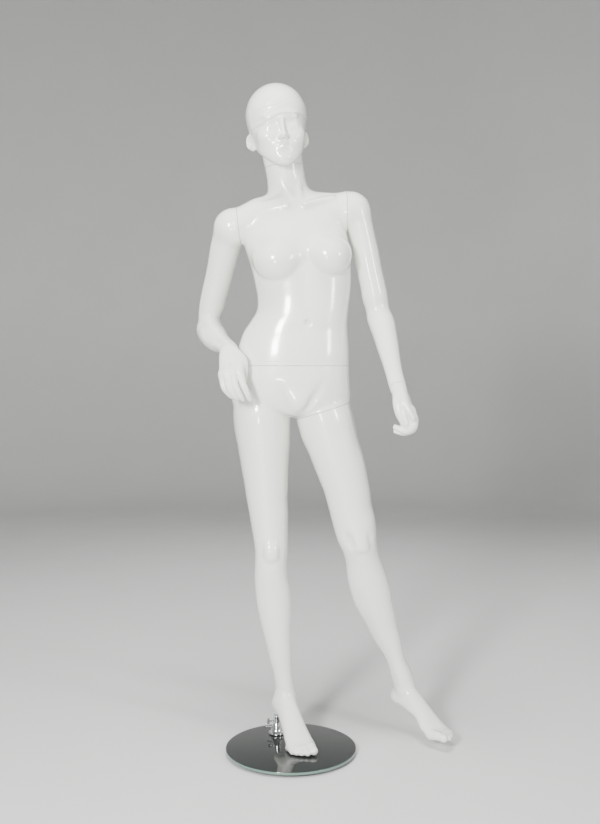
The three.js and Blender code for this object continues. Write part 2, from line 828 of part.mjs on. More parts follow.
const LEFT_HAND = {
  bend: [283, -82, 968],
  along: [0.45, -0.3, -0.84],
  thumb: [-0.25, -0.95, 0.2],
  seam: SEAMS.leftWrist,
  digits: [
    [[281, -92, 962, 14], [278, -106, 942, 14], [283, -114, 914, 13], [295, -117, 888, 10]],
    [[311, -105, 921, 10.5], [319, -112, 886, 10], [297, -114, 869, 9], [270, -112, 878, 6]],
    [[313, -88, 917, 10.5], [320, -92, 878, 10], [296, -94, 865, 9], [273, -93, 867, 6]],
    [[311, -71, 913, 10], [312, -74, 875, 9.4], [290, -76, 865, 8.4], [275, -76, 870, 5.8]],
    [[305, -56, 915, 9], [304, -58, 882, 8], [287, -60, 873, 7], [275, -62, 878, 5.4]],
  ],
};

const WRIST_START = 12; // how far the wrist runs into the forearm's side of the seam
const WRIST = [
  [0, 0, 0, 25, 20, 20],
  [24, 0, 0, 24.5, 19, 19],
  [40, 0, 0, 14, 10, 10],
];

function handSolid(hand) {
  const along = vec(hand.along).normalize();
  const thumb = vec(hand.thumb);
  thumb.addScaledVector(along, -thumb.dot(along)).normalize();
  const palm = new THREE.Vector3().crossVectors(along, thumb);
  const frame = { origin: vec(hand.bend), u: along, side: thumb, back: palm };
  const away = vec(hand.seam.away).normalize();
  const start = vec(hand.seam.at).addScaledVector(away, -WRIST_START);
  const wrist = loft(WRIST, {
    frame: axisFrame(start.toArray(), start.clone().add(away).toArray(), thumb.toArray()),
    segments: 14,
    spans: 1,
  });
  return join(
    loft(PALM, { frame, segments: 14, spans: 1, power: 2.3 }),
    wrist,
    ...hand.digits.map((joints) => digit(joints)),
  );
}

const handShell = (hand, fit) =>
  handSolid(hand)
    .subtract(before(hand.seam, LIMB_CUT))
    .subtract(pocket(hand.seam, fit, true));

// ---------------------------------------------------------------- waist, heel and base fittings

function waistLowerPlate() {
  const top = -SEAM_GAP / 2;
  return placed(post(WAIST.plate, top - WAIST.thick, top, 32), SEAMS.waist)
    .add(placed(post(WAIST.post, top - 1, WAIST.postHeight, 24), SEAMS.waist))
    .subtract(waistPin(FIT_GAP / 2));
}

function waistUpperPlate() {
  const face = SEAM_GAP / 2;
  const hole = post(WAIST.post + WAIST.clearance, -1, face + WAIST.hub, 24);
  return placed(post(WAIST.plate, face, face + WAIST.thick, 32), SEAMS.waist)
    .subtract(placed(hole, SEAMS.waist))
    .subtract(waistPin(WAIST.clearance));
}

// The locating pin, which stops the torso from turning on its post.
const waistPin = (grow = 0) =>
  placed(
    post(WAIST.pin + grow, -WAIST.thick, WAIST.pinHeight, 20, 0, WAIST.pinOffset),
    SEAMS.waist,
  );

function heelSocket() {
  const tube = (radius, from, to) =>
    solid(post(radius, from, to, 24, SPIGOT.x, SPIGOT.y));
  return tube(SOCKET.radius, SOCKET.bottom, SOCKET.top).subtract(
    tube(SPIGOT.radius + SPIGOT_PLAY, SOCKET.bottom - 1, SOCKET.top + 1),
  );
}

const heelRod = () =>
  solid(post(SPIGOT.radius, SPIGOT.bottom, SPIGOT.top, 24, SPIGOT.x, SPIGOT.y));

// A screw that runs along -X into the cone, with its tip just short of the rod.
function sideScrew(screw, grow = 0) {
  const tip = SPIGOT.radius + FIT_GAP;
  const shank = post(screw.radius + grow, tip - grow, screw.reach - 1, 16);
  const parts = [shank];
  if (!grow) {
    const neck = screw.reach - screw.headWidth;
    parts.push(post(screw.headRadius, neck, screw.reach, 16));
  }
  return join(
    ...parts.map((part) =>
      solid(part.rotateY(-Math.PI / 2).translate(SPIGOT.x, SPIGOT.y, screw.height)),
    ),
  );
}

function coneFlange() {
  const { bottom, top, footRadius, neckRadius } = CONE;
  const profile = [
    [0, bottom],
    [footRadius, bottom],
    [footRadius, bottom + 3],
    [footRadius - 3.5, bottom + 5],
    [neckRadius + 3, bottom + 26],
    [neckRadius, top - 12],
    [neckRadius, top - 1],
    [neckRadius - 1, top],
    [0, top],
  ];
  const bore = (radius, from, to) =>
    solid(post(radius, from, to, 24, SPIGOT.x, SPIGOT.y));
  return solid(turned(profile, 24).translate(SPIGOT.x, SPIGOT.y, 0))
    .subtract(bore(SPIGOT.radius + CONE_PLAY, SPIGOT.bottom - FIT_GAP, top + 1))
    .subtract(bore(BOLT.radius + FIT_GAP, bottom - 1, SPIGOT.bottom))
    .subtract(sideScrew(THUMBSCREW, CONE_PLAY))
    .subtract(sideScrew(SET_SCREW, CONE_PLAY));
}

function glassDisc() {
  const { radius, underside, top, edge } = BASE;
  const profile = [
    [0, underside],
    [radius - edge, underside],
    [radius, underside + edge],
    [radius, top - edge],
    [radius - edge, top],
    [0, top],
  ];
  return solid(turned(profile, 60)).subtract(
    solid(post(BOLT.radius + 1, underside - 1, top + 1, 24, SPIGOT.x, SPIGOT.y)),
  );
}

const ring = (outer, inner, from, to, segments = 20) =>
  solid(post(outer, from, to, segments, SPIGOT.x, SPIGOT.y)).subtract(
    solid(post(inner, from - 1, to + 1, 16, SPIGOT.x, SPIGOT.y)),
  );

function bolt() {
  const head = BASE.underside - BOLT.washer;
  return solid(post(BOLT.radius, head - 1, BOLT.top, 20, SPIGOT.x, SPIGOT.y)).add(
    solid(post(BOLT.headRadius, head - BOLT.headHeight, head, 6, SPIGOT.x, SPIGOT.y)),
  );
}

function pad(x, y) {
  const { padRadius, underside } = BASE;
  const profile = [
    [0, 0],
    [padRadius - 1, 0],
    [padRadius, 1],
    [padRadius, underside],
    [0, underside],
  ];
  return solid(turned(profile, 16).translate(x, y, 0));
}

// ---------------------------------------------------------------- assembly

const group = new THREE.Group();
group.name = "full_body_mannequin";

function addPart(name, made, look) {
  const material = new THREE.MeshStandardMaterial({
    ...look,
    name: `${name}_finish`,
  });
  const mesh = new THREE.Mesh(geometryOf(made), material);
  mesh.name = name;
  group.add(mesh);
}

// The slotted plate on the near side of a seam and the lugged flange on the far side.
function addBayonet(name, plateLook = FINISH.steel) {
  const fit = BAYONETS[name];
  const seam = SEAMS[name];
  const label = name.replace(/[A-Z]/g, (letter) => `_${letter.toLowerCase()}`);
  const onSeam = (made) => {
    const geometry = geometryOf(made);
    geometry.deleteAttribute("normal");
    return solid(geometry.applyMatrix4(seamMatrix(seam)));
  };
  addPart(`${label}_slotted_plate`, onSeam(bayonetPlate(fit)), plateLook);
  addPart(`${label}_lug_flange`, onSeam(bayonetBoss(fit)), plateLook);
}

addPart("head_shell", headShell(), FINISH.gloss);
addPart("torso_shell", torsoShell(), FINISH.gloss);
addPart("lower_body_shell", lowerBodyShell(), FINISH.gloss);
addPart("left_leg_shell", leftLegShell(), FINISH.gloss);
addPart(
  "right_arm_shell",
  armShell(
    RIGHT_SHOULDER,
    RIGHT_UPPER_ARM,
    RIGHT_FOREARM,
    SEAMS.rightShoulder,
    BAYONETS.rightShoulder,
    SEAMS.rightWrist,
    BAYONETS.rightWrist,
  ),
  FINISH.gloss,
);
addPart(
  "left_arm_shell",
  armShell(
    LEFT_SHOULDER,
    LEFT_UPPER_ARM,
    LEFT_FOREARM,
    SEAMS.leftShoulder,
    BAYONETS.leftShoulder,
    SEAMS.leftWrist,
    BAYONETS.leftWrist,
  ),
  FINISH.gloss,
);
addPart("right_hand", handShell(RIGHT_HAND, BAYONETS.rightWrist), FINISH.gloss);
addPart("left_hand", handShell(LEFT_HAND, BAYONETS.leftWrist), FINISH.gloss);

Object.keys(BAYONETS).forEach((name) => addBayonet(name));

addPart("waist_post_plate", waistLowerPlate(), FINISH.steel);
addPart("waist_locating_pin", waistPin(), FINISH.steel);
addPart("waist_socket_plate", waistUpperPlate(), FINISH.steel);

addPart("heel_socket", heelSocket(), FINISH.steel);
addPart("heel_rod", heelRod(), FINISH.chrome);
addPart("cone_flange", coneFlange(), FINISH.chrome);
addPart("rod_thumbscrew", sideScrew(THUMBSCREW), FINISH.chrome);
addPart("rod_set_screw", sideScrew(SET_SCREW), FINISH.chrome);
addPart(
  "flange_gasket",
  ring(CONE.footRadius, BOLT.radius + 1, BASE.top, CONE.bottom, 24),
  FINISH.rubber,
);
addPart("glass_base", glassDisc(), FINISH.glass);
addPart(
  "base_washer",
  ring(
    BASE.washerRadius,
    BOLT.radius + FIT_GAP,
    BASE.underside - BOLT.washer,
    BASE.underside,
  ),
  FINISH.steel,
);
addPart("base_bolt", bolt(), FINISH.steel);

addPart("centre_pad", pad(0, 0), FINISH.rubber);
for (let i = 0; i < BASE.edgePads; i++) {
  const angle = (2 * Math.PI * (i + 0.5)) / BASE.edgePads;
  addPart(
    `edge_pad_${i + 1}`,
    pad(BASE.padCircle * Math.cos(angle), BASE.padCircle * Math.sin(angle)),
    FINISH.rubber,
  );
}

export default group;
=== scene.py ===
"""Looks for the full body mannequin: moulded shells, chrome heel fitting and glass base.

Body shapes are fields in millimetres: negative inside, positive outside. Each shell is the zero surface of
its field, cut flat at the seams where the mannequin comes apart.
"""

import json
import math

import bmesh
import bpy
import numpy as np
from mathutils import Matrix, Vector


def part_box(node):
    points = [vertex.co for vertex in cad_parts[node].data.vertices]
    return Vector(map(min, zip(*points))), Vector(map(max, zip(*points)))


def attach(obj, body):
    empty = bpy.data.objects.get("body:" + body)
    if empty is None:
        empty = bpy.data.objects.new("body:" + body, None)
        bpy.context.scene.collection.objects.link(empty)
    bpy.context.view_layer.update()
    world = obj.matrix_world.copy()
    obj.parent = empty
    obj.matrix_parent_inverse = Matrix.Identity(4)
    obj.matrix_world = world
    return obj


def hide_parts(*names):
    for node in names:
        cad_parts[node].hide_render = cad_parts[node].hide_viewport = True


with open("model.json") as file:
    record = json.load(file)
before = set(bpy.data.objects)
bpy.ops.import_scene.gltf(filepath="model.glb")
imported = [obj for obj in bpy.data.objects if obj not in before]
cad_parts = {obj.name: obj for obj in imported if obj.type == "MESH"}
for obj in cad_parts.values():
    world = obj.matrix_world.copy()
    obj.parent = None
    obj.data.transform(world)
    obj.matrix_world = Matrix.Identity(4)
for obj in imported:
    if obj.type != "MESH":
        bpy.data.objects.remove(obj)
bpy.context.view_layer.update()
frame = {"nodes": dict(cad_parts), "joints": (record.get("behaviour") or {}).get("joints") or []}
MM = 0.001


# ---------------------------------------------------------------- sizes shared with the frame


def hinge(name):
    """A joint's pivot in mm and its unit axis."""
    joint = next(j for j in frame["joints"] if j["name"] == name)
    return np.array(joint["pos_m"]) / MM, np.array(joint["axis"])


def centre_of(node):
    low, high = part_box(node)
    return np.array((low + high) / 2) / MM


def box_mm(node, margin=0.0):
    low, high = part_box(node)
    return np.array(low) / MM - margin, np.array(high) / MM + margin


def span_of(node):
    """A node's lowest and highest Z in mm."""
    low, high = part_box(node)
    return low.z / MM, high.z / MM


def radius_of(node):
    """Half of a node's width along X, in mm."""
    low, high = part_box(node)
    return (high.x - low.x) / 2 / MM


SEAM_GAP = 0.8
# Radius of the small round edge that each shell has at a seam.
LIP = 1.0
WAIST_Z = span_of("lower_body_shell")[1] + SEAM_GAP / 2
# The shallow line scored round the torso, this far above the waist seam.
SCORE_RISE = 10.5

# Each seam: a point on it, and the direction from the part that stays to the part that comes off.
SEAMS = {
    "waist": (np.array([2.0, 14.0, WAIST_Z]), np.array([0.0, 0.0, 1.0])),
    "neck": hinge("head_turn"),
    "right_shoulder": hinge("right_arm_swing"),
    "left_shoulder": (hinge("left_arm_swing")[0], -hinge("left_arm_swing")[1]),
    "right_wrist": hinge("right_hand_turn"),
    "left_wrist": hinge("left_hand_turn"),
    "left_thigh": hinge("left_leg_turn"),
}
# Plate radius and recess depth of the fitting set into both faces of each seam.
FITTINGS = {
    "waist": (70.3, 4.3),
    "neck": (30.3, 3.3),
    "right_shoulder": (32.3, 3.3),
    "left_shoulder": (32.3, 3.3),
    "right_wrist": (15.3, 2.3),
    "left_wrist": (15.3, 2.3),
    "left_thigh": (46.3, 3.8),
}


# ---------------------------------------------------------------- fields


def unit(v):
    v = np.asarray(v, float)
    return v / np.linalg.norm(v)


def smooth_min(a, b, k):
    """Joins two fields, with a fillet k mm wide."""
    h = np.maximum(k - np.abs(a - b), 0) / k
    return np.minimum(a, b) - h * h * h * k / 6


def smooth_max(a, b, k):
    """The overlap of two fields, with its edge rounded over k mm."""
    return -smooth_min(-a, -b, k)


def blend_all(k, *fields):
    out = fields[0]
    for field in fields[1:]:
        out = smooth_min(out, field, k)
    return out


def carve(field, tool, k):
    """Cuts a tool out of a field, with the edge rounded over k mm."""
    return smooth_max(field, -tool, k)


def rotation(x=0.0, y=0.0, z=0.0):
    """A turn about X, then Y, then Z, in radians."""
    turn = Matrix.Rotation(z, 3, "Z") @ Matrix.Rotation(y, 3, "Y") @ Matrix.Rotation(x, 3, "X")
    return np.array(turn)


def ellipsoid(P, centre, radii, turn=None):
    """An ellipsoid whose axes are the columns of turn."""
    q = P - np.asarray(centre, float)
    if turn is not None:
        q = q @ turn
    radii = np.asarray(radii, float)
    k0 = np.linalg.norm(q / radii, axis=1)
    k1 = np.linalg.norm(q / radii**2, axis=1)
    return k0 * (k0 - 1) / np.maximum(k1, 1e-9)


def capsule(P, a, b, ra, rb):
    """A bar from a to b whose radius goes from ra to rb, with round ends."""
    a = np.asarray(a, float)
    ab = np.asarray(b, float) - a
    t = np.clip((P - a) @ ab / (ab @ ab), 0, 1)
    return np.linalg.norm(P - a - t[:, None] * ab, axis=1) - (ra + (rb - ra) * t)


def chain(P, joints, k):
    """A digit through joints [x, y, z, radius]."""
    links = [capsule(P, p[:3], q[:3], p[3], q[3]) for p, q in zip(joints[:-1], joints[1:])]
    return blend_all(k, *links)


def sampled(stations, s):
    """Smooth interpolation through stations whose first column is the distance along the axis."""
    S = stations[:, 0]
    i = np.clip(np.searchsorted(S, s) - 1, 0, len(S) - 2)
    slope = np.gradient(stations, S, axis=0)
    span = (S[i + 1] - S[i])[:, None]
    t = ((s - S[i]) / span[:, 0])[:, None]
    t2, t3 = t * t, t * t * t
    start = (2 * t3 - 3 * t2 + 1) * stations[i] + (t3 - 2 * t2 + t) * span * slope[i]
    end = (3 * t2 - 2 * t3) * stations[i + 1] + (t3 - t2) * span * slope[i + 1]
    return start + end


class Loft:
    """A body shape round a straight axis, from stations
    [distance, side offset, back offset, half width, front, back]. Its two ends are rounded off."""

    def __init__(self, start, end, stations, power=2.0, side=(1, 0, 0), back=(0, 1, 0), round_end=14.0):
        self.start = np.asarray(start, float)
        self.along = unit(np.asarray(end, float) - self.start)
        side = np.asarray(side, float)
        self.side = unit(side - self.along * (side @ self.along))
        self.back = np.cross(self.along, self.side)
        if self.back @ np.asarray(back, float) < 0:
            self.back = -self.back
        self.stations = np.asarray(stations, float)
        self.power = power
        self.round_end = round_end

    def __call__(self, P):
        d = P - self.start
        s = d @ self.along
        first, last = self.stations[0, 0], self.stations[-1, 0]
        row = sampled(self.stations, np.clip(s, first, last))
        x = d @ self.side - row[:, 1]
        y = d @ self.back - row[:, 2]
        depth = np.where(y > 0, row[:, 5], row[:, 4])
        X, Y = np.abs(x) / row[:, 3], np.abs(y) / depth
        p = self.power
        k0 = np.maximum((X**p + Y**p) ** (1 / p), 1e-6)
        gx = (X / k0) ** (p - 1) / row[:, 3]
        gy = (Y / k0) ** (p - 1) / depth
        f = (k0 - 1) / np.maximum(np.hypot(gx, gy), 1e-9)
        edge = self.round_end
        past = np.maximum(first + edge - s, s - last + edge)
        ended = np.hypot(np.maximum(f + edge, 0), np.maximum(past, 0)) - edge
        return np.where(past > 0, ended, f)


# ---------------------------------------------------------------- the figure's shapes

TRUNK = Loft((0, 0, 0), (0, 0, 1), power=2.15, round_end=6, stations=[
    [903, 6, 28, 80, 40, 48],
    [910, 5, 26, 116, 62, 72],
    [919, 4, 24, 141, 78, 89],
    [932, 2, 23, 155, 89, 98],
    [952, 0, 22, 161, 97, 102],
    [985, 0, 19, 159, 102, 96],
    [1037, 2, 14, 154.5, 98, 84],
    [1070, 5, 11, 151, 94, 73],
    [1105, 9, 9, 145, 89, 65],
    [1130, 13, 8, 139, 85, 63],
    [1155, 21, 6, 130.5, 82, 63],
    [1185, 31, 5, 123, 79, 65],
    [1215, 34, 6, 123.5, 79, 69],
    [1250, 33, 9, 128, 82, 75],
    [1290, 29, 13, 133, 86, 81],
    [1330, 22, 17, 138, 88, 84],
    [1370, 14, 20, 141, 86, 86],
    [1400, 11, 22, 137, 78, 86],
    [1430, 10, 24, 124, 64, 82],
    [1452, 12, 26, 106, 50, 74],
])
YOKE = Loft((-150, 20, 1414), (160, 20, 1460), side=(0, 1, 0), back=(0, 0, 1), round_end=5, stations=[
    [0, 0, 0, 44, 46, 46],
    [30, 1, 11, 46, 48, 46],
    [58, 3, 22, 48, 52, 45],
    [90, 6, 25, 50, 60, 46],
    [150, 9, 22, 52, 66, 52],
    [200, 8, 20, 50, 64, 50],
    [245, 5, 8, 48, 58, 50],
    [280, 2, 1, 46, 52, 50],
    [313, 0, 0, 45, 49, 49],
])
NECK = Loft((2, 44, 1462), (-24, 20, 1608), stations=[
    [-30, 4, 0, 68, 52, 50],
    [0, 2, 0, 67, 54, 52],
    [25, 0, 0, 59, 52, 50],
    [48, -1, 0, 55.5, 50, 49],
    [72, -1, 0, 52.5, 49, 48],
    [100, 0, 0, 51.5, 49, 48],
    [125, 0, 0, 52, 49, 49],
    [150, 0, 2, 53, 51, 49],
    [172, 1, 3, 53, 51, 49],
])
RIGHT_LEG = Loft((0, 0, 0), (0, 0, 1), stations=[
    [96, -15, 84, 27, 30, 28],
    [120, -16, 84, 28.5, 32, 30],
    [155, -18, 80, 26.5, 33, 31],
    [190, -23, 73, 26.5, 31, 35],
    [225, -28, 66, 30, 32, 40],
    [260, -32, 60, 33, 35, 46],
    [295, -37, 54, 37, 38, 51],
    [330, -41, 48, 41, 41, 55],
    [365, -44, 42, 45, 44, 57],
    [400, -47, 36, 47.5, 46, 57],
    [435, -50, 29, 47.5, 48, 54],
    [470, -54, 22, 45, 51, 50],
    [505, -54, 17, 43.5, 54, 49],
    [540, -53, 15, 44.5, 55, 50],
    [575, -55, 15, 47, 55, 53],
    [610, -58, 16, 50, 57, 57],
    [645, -61, 17, 53, 60, 61],
    [680, -65, 18, 55.5, 64, 64],
    [715, -67, 19, 59, 68, 67],
    [750, -70, 20, 62.5, 72, 71],
    [785, -72, 21, 66.5, 76, 75],
    [820, -74, 22, 70.5, 80, 79],
    [855, -77, 24, 74.5, 85, 84],
    [890, -79, 25, 77, 89, 86],
    [920, -80, 26, 76.5, 89, 85],
    [955, -80, 26, 72, 80, 80],
])
LEFT_LEG = Loft((76, 26, 940), (326, 142, 118), stations=[
    [0, 2, -6, 72, 80, 84],
    [45, 3, -10, 76, 82, 84],
    [85, 2, -14, 75, 80, 82],
    [120, 3.5, -19, 71, 77, 78],
    [158, 4.5, -24, 68.5, 73, 74],
    [195, 5.5, -28, 66, 69, 70],
    [232, 5.5, -32, 62.5, 65, 66],
    [268, 3.5, -36, 60.5, 61, 62],
    [305, -0.5, -39, 58, 58, 58],
    [340, -2, -42, 57.5, 57, 54],
    [376, -5, -44, 54.5, 57, 51],
    [410, -6.5, -42, 48.5, 54, 50],
    [445, -9, -37, 47.5, 49, 52],
    [482, -12, -32, 51.5, 46, 56],
    [518, -13, -27, 54, 45, 58],
    [555, -14, -22, 54, 43, 57],
    [592, -14.5, -18, 49.5, 40, 54],
    [628, -12, -14, 44.5, 37, 49],
    [665, -11, -10, 39.5, 34, 44],
    [702, -8, -7, 35.5, 32, 39],
    [738, -5, -3, 29.5, 31, 34],
    [775, -3.5, 0, 27, 32, 31],
    [812, -1, 0, 30, 34, 30],
    [856, 0, 0, 29, 34, 28],
])
FOOT = [
    [0, 0, 104, 8, 10, 12],
    [7, 0, 102, 17, 18, 20],
    [22, 0, 99, 27.5, 22, 30],
    [45, 0, 96, 30, 22, 44],
    [70, 0, 88, 29.5, 23, 48],
    [95, 0, 73, 30.5, 25, 44],
    [120, 0, 56, 32.5, 24, 38],
    [145, 0, 40, 36, 19, 30],
    [165, -1, 31, 37.5, 14.5, 20],
    [180, -2, 28, 36, 11.5, 12],
    [196, -2.5, 26, 31, 8.5, 8.5],
]


def foot_frame(heel, toe):
    side = np.cross(unit(np.subtract(toe, heel)), (0, 0, 1))
    return Loft(heel, toe, FOOT, side=side, back=(0, 0, 1), round_end=6)


RIGHT_FOOT = foot_frame((-35, 121, 0), (48, -92, 0))
LEFT_FOOT = foot_frame((294, 171, 1), (428, 6, 10))
RIGHT_KNEE = (-52, -33, 542)
RIGHT_ANKLE = np.array([-15.0, 82.0, 116.0])
LEFT_ANKLE = np.array([322.0, 140.0, 122.0])
# Toes, big toe first: [start, start side, tip distance, tip side, start radius, tip radius].
TOES = [
    [166, 24, 211, 21, 13.5, 10.5],
    [172, 6, 212, 3, 10, 7.4],
    [170, -8, 205, -11, 9.4, 7],
    [165, -20, 196, -22, 9, 6.6],
    [157, -30, 186, -31, 8.6, 6.4],
]

RIGHT_UPPER_ARM = Loft((-160, 20, 1440), (-236, 143, 1162), stations=[
    [0, 0, 0, 34, 36, 36],
    [30, 1, 0, 41, 43, 42],
    [60, 2, 0, 42, 43, 42],
    [100, 1, 0, 40.5, 41, 40],
    [145, 2, 0, 38.5, 39, 38],
    [190, 2, 0, 37.5, 37, 36],
    [235, 1, 0, 36.5, 36, 35],
    [270, 1, 0, 35, 34, 34],
    [300, 0, 0, 29, 28, 29],
    [324, 0, 0, 18, 17, 17],
])
RIGHT_FOREARM = Loft((-240, 156, 1158), (-166, -42, 1083), stations=[
    [-10, 1, 0, 17, 18, 16],
    [10, 0, 0, 28.5, 29, 27],
    [40, -3, 2, 37.5, 36, 35],
    [75, -6, 5, 38, 36, 36],
    [110, -7, 6, 36, 34, 34],
    [150, -6, 6, 31, 29, 29],
    [190, -2, 3, 26.5, 23, 23],
    [224, 0, 0, 25, 19.5, 19.5],
    [236, 0, 0, 23.5, 18.5, 18.5],
    [250, 0, 0, 17, 14, 14],
])
LEFT_UPPER_ARM = Loft((168, 20, 1486), (240, 42, 1172), stations=[
    [0, 7, 0, 26, 30, 30],
    [30, 6, 0, 33, 40, 40],
    [75, 4, 0, 34, 41, 41],
    [108, 4, 0, 34, 40, 40],
    [150, 3, 0, 35, 39, 39],
    [200, 2, 0, 34, 37, 37],
    [240, 2, 0, 34, 36, 36],
    [272, 1, 0, 34.5, 34.5, 35.5],
    [302, 1, 0, 29.5, 28.5, 30],
    [328, 1, 0, 18, 17, 18],
])
LEFT_FOREARM = Loft((236, 52, 1190), (280, -72, 984), stations=[
    [-16, 0, 0, 17, 17, 16],
    [4, 0, 0, 28, 28, 27],
    [22, 1, 0, 34, 34.5, 33.5],
    [50, 3, 0, 35, 36, 36],
    [85, 3, 0, 32, 35, 35],
    [125, 2, 0, 29, 31, 31],
    [165, 1, 0, 25, 26, 26],
    [205, 0, 0, 22.5, 22, 22],
    [244, 0, 0, 22, 22, 22],
    [256, 0, 0, 21, 21, 21],
    [272, 0, 0, 16, 16, 16],
])


# Rounded tops of the arms, and the points of the elbows, as [centre, radii].
RIGHT_CAP = [(-158, 20, 1412), (48, 46, 52)]
LEFT_CAP = [(163.5, 20, 1459), (47, 46, 50)]
RIGHT_ELBOW = [(-240, 158, 1152), (20, 14, 18)]
LEFT_ELBOW = [(240, 72, 1172), (18, 14, 18)]
# The left thigh's rim at its seam, rounded inwards to clear the crotch as the leg turns: its radius, and
# how fast it widens below a straight band.
RIM_RADIUS, RIM_FLARE, RIM_BAND = 86.5, 0.25, 20


def with_breast(P, body, centre, radii):
    """Adds one breast: a crisp fold below and a long soft slope from the collarbone."""
    rise = np.clip((P[:, 2] - centre[2] + 34) / 60, 0, 1)
    k = 9 + 44 * rise * rise * (3 - 2 * rise)
    return smooth_min(body, ellipsoid(P, centre, radii), k)


def trunk_with_chest(P):
    chest = blend_all(30, TRUNK(P), YOKE(P))
    chest = smooth_min(chest, NECK(P), 34)
    chest = with_breast(P, chest, (-34, -42, 1316), (66, 60, 58))
    chest = with_breast(P, chest, (102, -38, 1328), (59, 59, 56))
    # collarbones, rising to the shoulders
    chest = smooth_min(chest, capsule(P, (-10, -28, 1463), (-98, -4, 1452), 5, 6), 20)
    chest = smooth_min(chest, capsule(P, (38, -28, 1469), (112, -14, 1486), 5, 6), 20)
    # sternal notch and the hollows above the collarbones
    chest = carve(chest, ellipsoid(P, (14, -44, 1486), (11, 16, 15)), 14)
    chest = carve(chest, ellipsoid(P, (-58, -14, 1496), (30, 13, 10), rotation(y=-0.25)), 22)
    chest = carve(chest, ellipsoid(P, (80, -16, 1512), (30, 13, 10), rotation(y=0.2)), 22)
    # neck muscles from behind the ears to the notch
    chest = smooth_min(chest, capsule(P, (6, -16, 1486), (-36, -2, 1540), 4, 2), 20)
    chest = smooth_min(chest, capsule(P, (25, -16, 1488), (20, 0, 1540), 4, 2), 20)
    # shallow line down the belly, and the navel
    chest = carve(chest, capsule(P, (33, -88, 1262), (45, -92, 1168), 9, 9), 26)
    chest = carve(chest, ellipsoid(P, (45, -83, 1148), (12, 13, 15)), 7)
    chest = carve(chest, ellipsoid(P, (45, -73, 1151), (5.5, 10, 7)), 4)
    # spine and shoulder blades
    chest = carve(chest, capsule(P, (20, 122, 1420), (30, 88, 1200), 13, 12), 30)
    chest = carve(chest, capsule(P, (30, 88, 1200), (8, 104, 1060), 12, 12), 30)
    chest = smooth_min(chest, ellipsoid(P, (-62, 82, 1386), (34, 18, 46), rotation(y=0.15)), 46)
    chest = smooth_min(chest, ellipsoid(P, (86, 82, 1398), (34, 18, 46), rotation(y=-0.1)), 46)
    return chest


def buttocks(P):
    right = ellipsoid(P, (-70, 62, 928), (76, 60, 84))
    left = ellipsoid(P, (74, 62, 934), (74, 58, 80))
    return smooth_min(right, left, 9)


def hips(P, legs):
    """The pelvis with the tops of the given legs, the seat and the groin folds."""
    body = smooth_min(TRUNK(P), buttocks(P), 34)
    body = smooth_min(body, ellipsoid(P, (20, -30, 946), (50, 50, 44)), 34)
    for leg in legs:
        body = smooth_min(body, leg(P), 16)
    fold_right = capsule(P, (-32, -92, 980), (-7, -66, 900), 9, 10)
    fold_left = capsule(P, (94, -86, 1000), (32, -63, 902), 9, 10)
    body = carve(body, fold_right, 20)
    return carve(body, fold_left, 20)


def knee(P, body, centre, turn):
    """The kneecap, with a soft hollow on each side of it and a dent below."""
    at = np.asarray(centre, float)
    body = smooth_min(body, ellipsoid(P, at, (23, 15, 27), turn), 13)
    for side in (-1, 1):
        hollow = at + np.array([31 * side, -15, 4])
        body = carve(body, ellipsoid(P, hollow, (10, 15, 24), turn), 18)
    return carve(body, ellipsoid(P, at + np.array([0, -19, -37]), (20, 12, 8), turn), 18)


def foot(P, sole, big_toe):
    """A foot on tiptoe. big_toe is the side, +1 or -1, that the big toe is on."""
    body = sole(P)
    start, along, across = sole.start, sole.along, sole.side * big_toe
    for a, x0, b, x1, r0, r1 in TOES:
        root = start + along * a + across * x0 + np.array([0, 0, 15 + r0 * 0.9])
        tip = start + along * b + across * x1 + np.array([0, 0, 16.5 + r1])
        middle = root * 0.45 + tip * 0.55 + np.array([0, 0, 2.5])
        toe = chain(P, [[*root, r0], [*middle, r1 + 0.6], [*tip, r1]], 4)
        body = smooth_min(body, toe, 11)
    heel = start + along * 26 + np.array([0, 0, 99])
    body = smooth_min(body, ellipsoid(P, heel, (25, 24, 19)), 14)
    arch = start + along * 88 + across * 34 + np.array([0, 0, 44])
    return carve(body, ellipsoid(P, arch, (26, 40, 22)), 22)


def ankle_bones(P, at, side):
    inner = ellipsoid(P, at + side * 22 + np.array([0, -2, 4]), (8, 12, 12))
    outer = ellipsoid(P, at - side * 22 + np.array([0, 4, -6]), (8, 11, 12))
    return np.minimum(inner, outer)


def lower_body(P):
    body = hips(P, (RIGHT_LEG, LEFT_LEG))
    body = knee(P, body, RIGHT_KNEE, rotation())
    body = smooth_min(body, foot(P, RIGHT_FOOT, np.sign(RIGHT_FOOT.side[0])), 26)
    return smooth_min(body, ankle_bones(P, RIGHT_ANKLE, np.array([0.93, 0.35, 0])), 14)


def left_leg(P):
    body = hips(P, (LEFT_LEG,))
    knee_at = LEFT_LEG.start + LEFT_LEG.along * 400 + np.array([-3, -88, 0])
    body = knee(P, body, knee_at, rotation(y=-0.3))
    body = smooth_min(body, foot(P, LEFT_FOOT, -np.sign(LEFT_FOOT.side[0])), 26)
    body = smooth_min(body, ankle_bones(P, LEFT_ANKLE, np.array([-0.78, -0.62, 0])), 14)
    seam_at, seam_axis = SEAMS["left_thigh"]
    q = P - seam_at
    down = q @ unit(seam_axis)
    reach = np.linalg.norm(q - np.outer(down, unit(seam_axis)), axis=1)
    return smooth_max(body, reach - RIM_RADIUS - RIM_FLARE * np.maximum(down - RIM_BAND, 0), 4)


def arm(P, cap, upper, forearm, elbow):
    """A bent arm, run together with the yoke so that it meets the torso at the shoulder seam."""
    top = smooth_min(ellipsoid(P, *cap), upper(P), 20)
    low = smooth_min(forearm(P), ellipsoid(P, *elbow), 18)
    return smooth_min(smooth_min(top, low, 24), YOKE(P), 14)


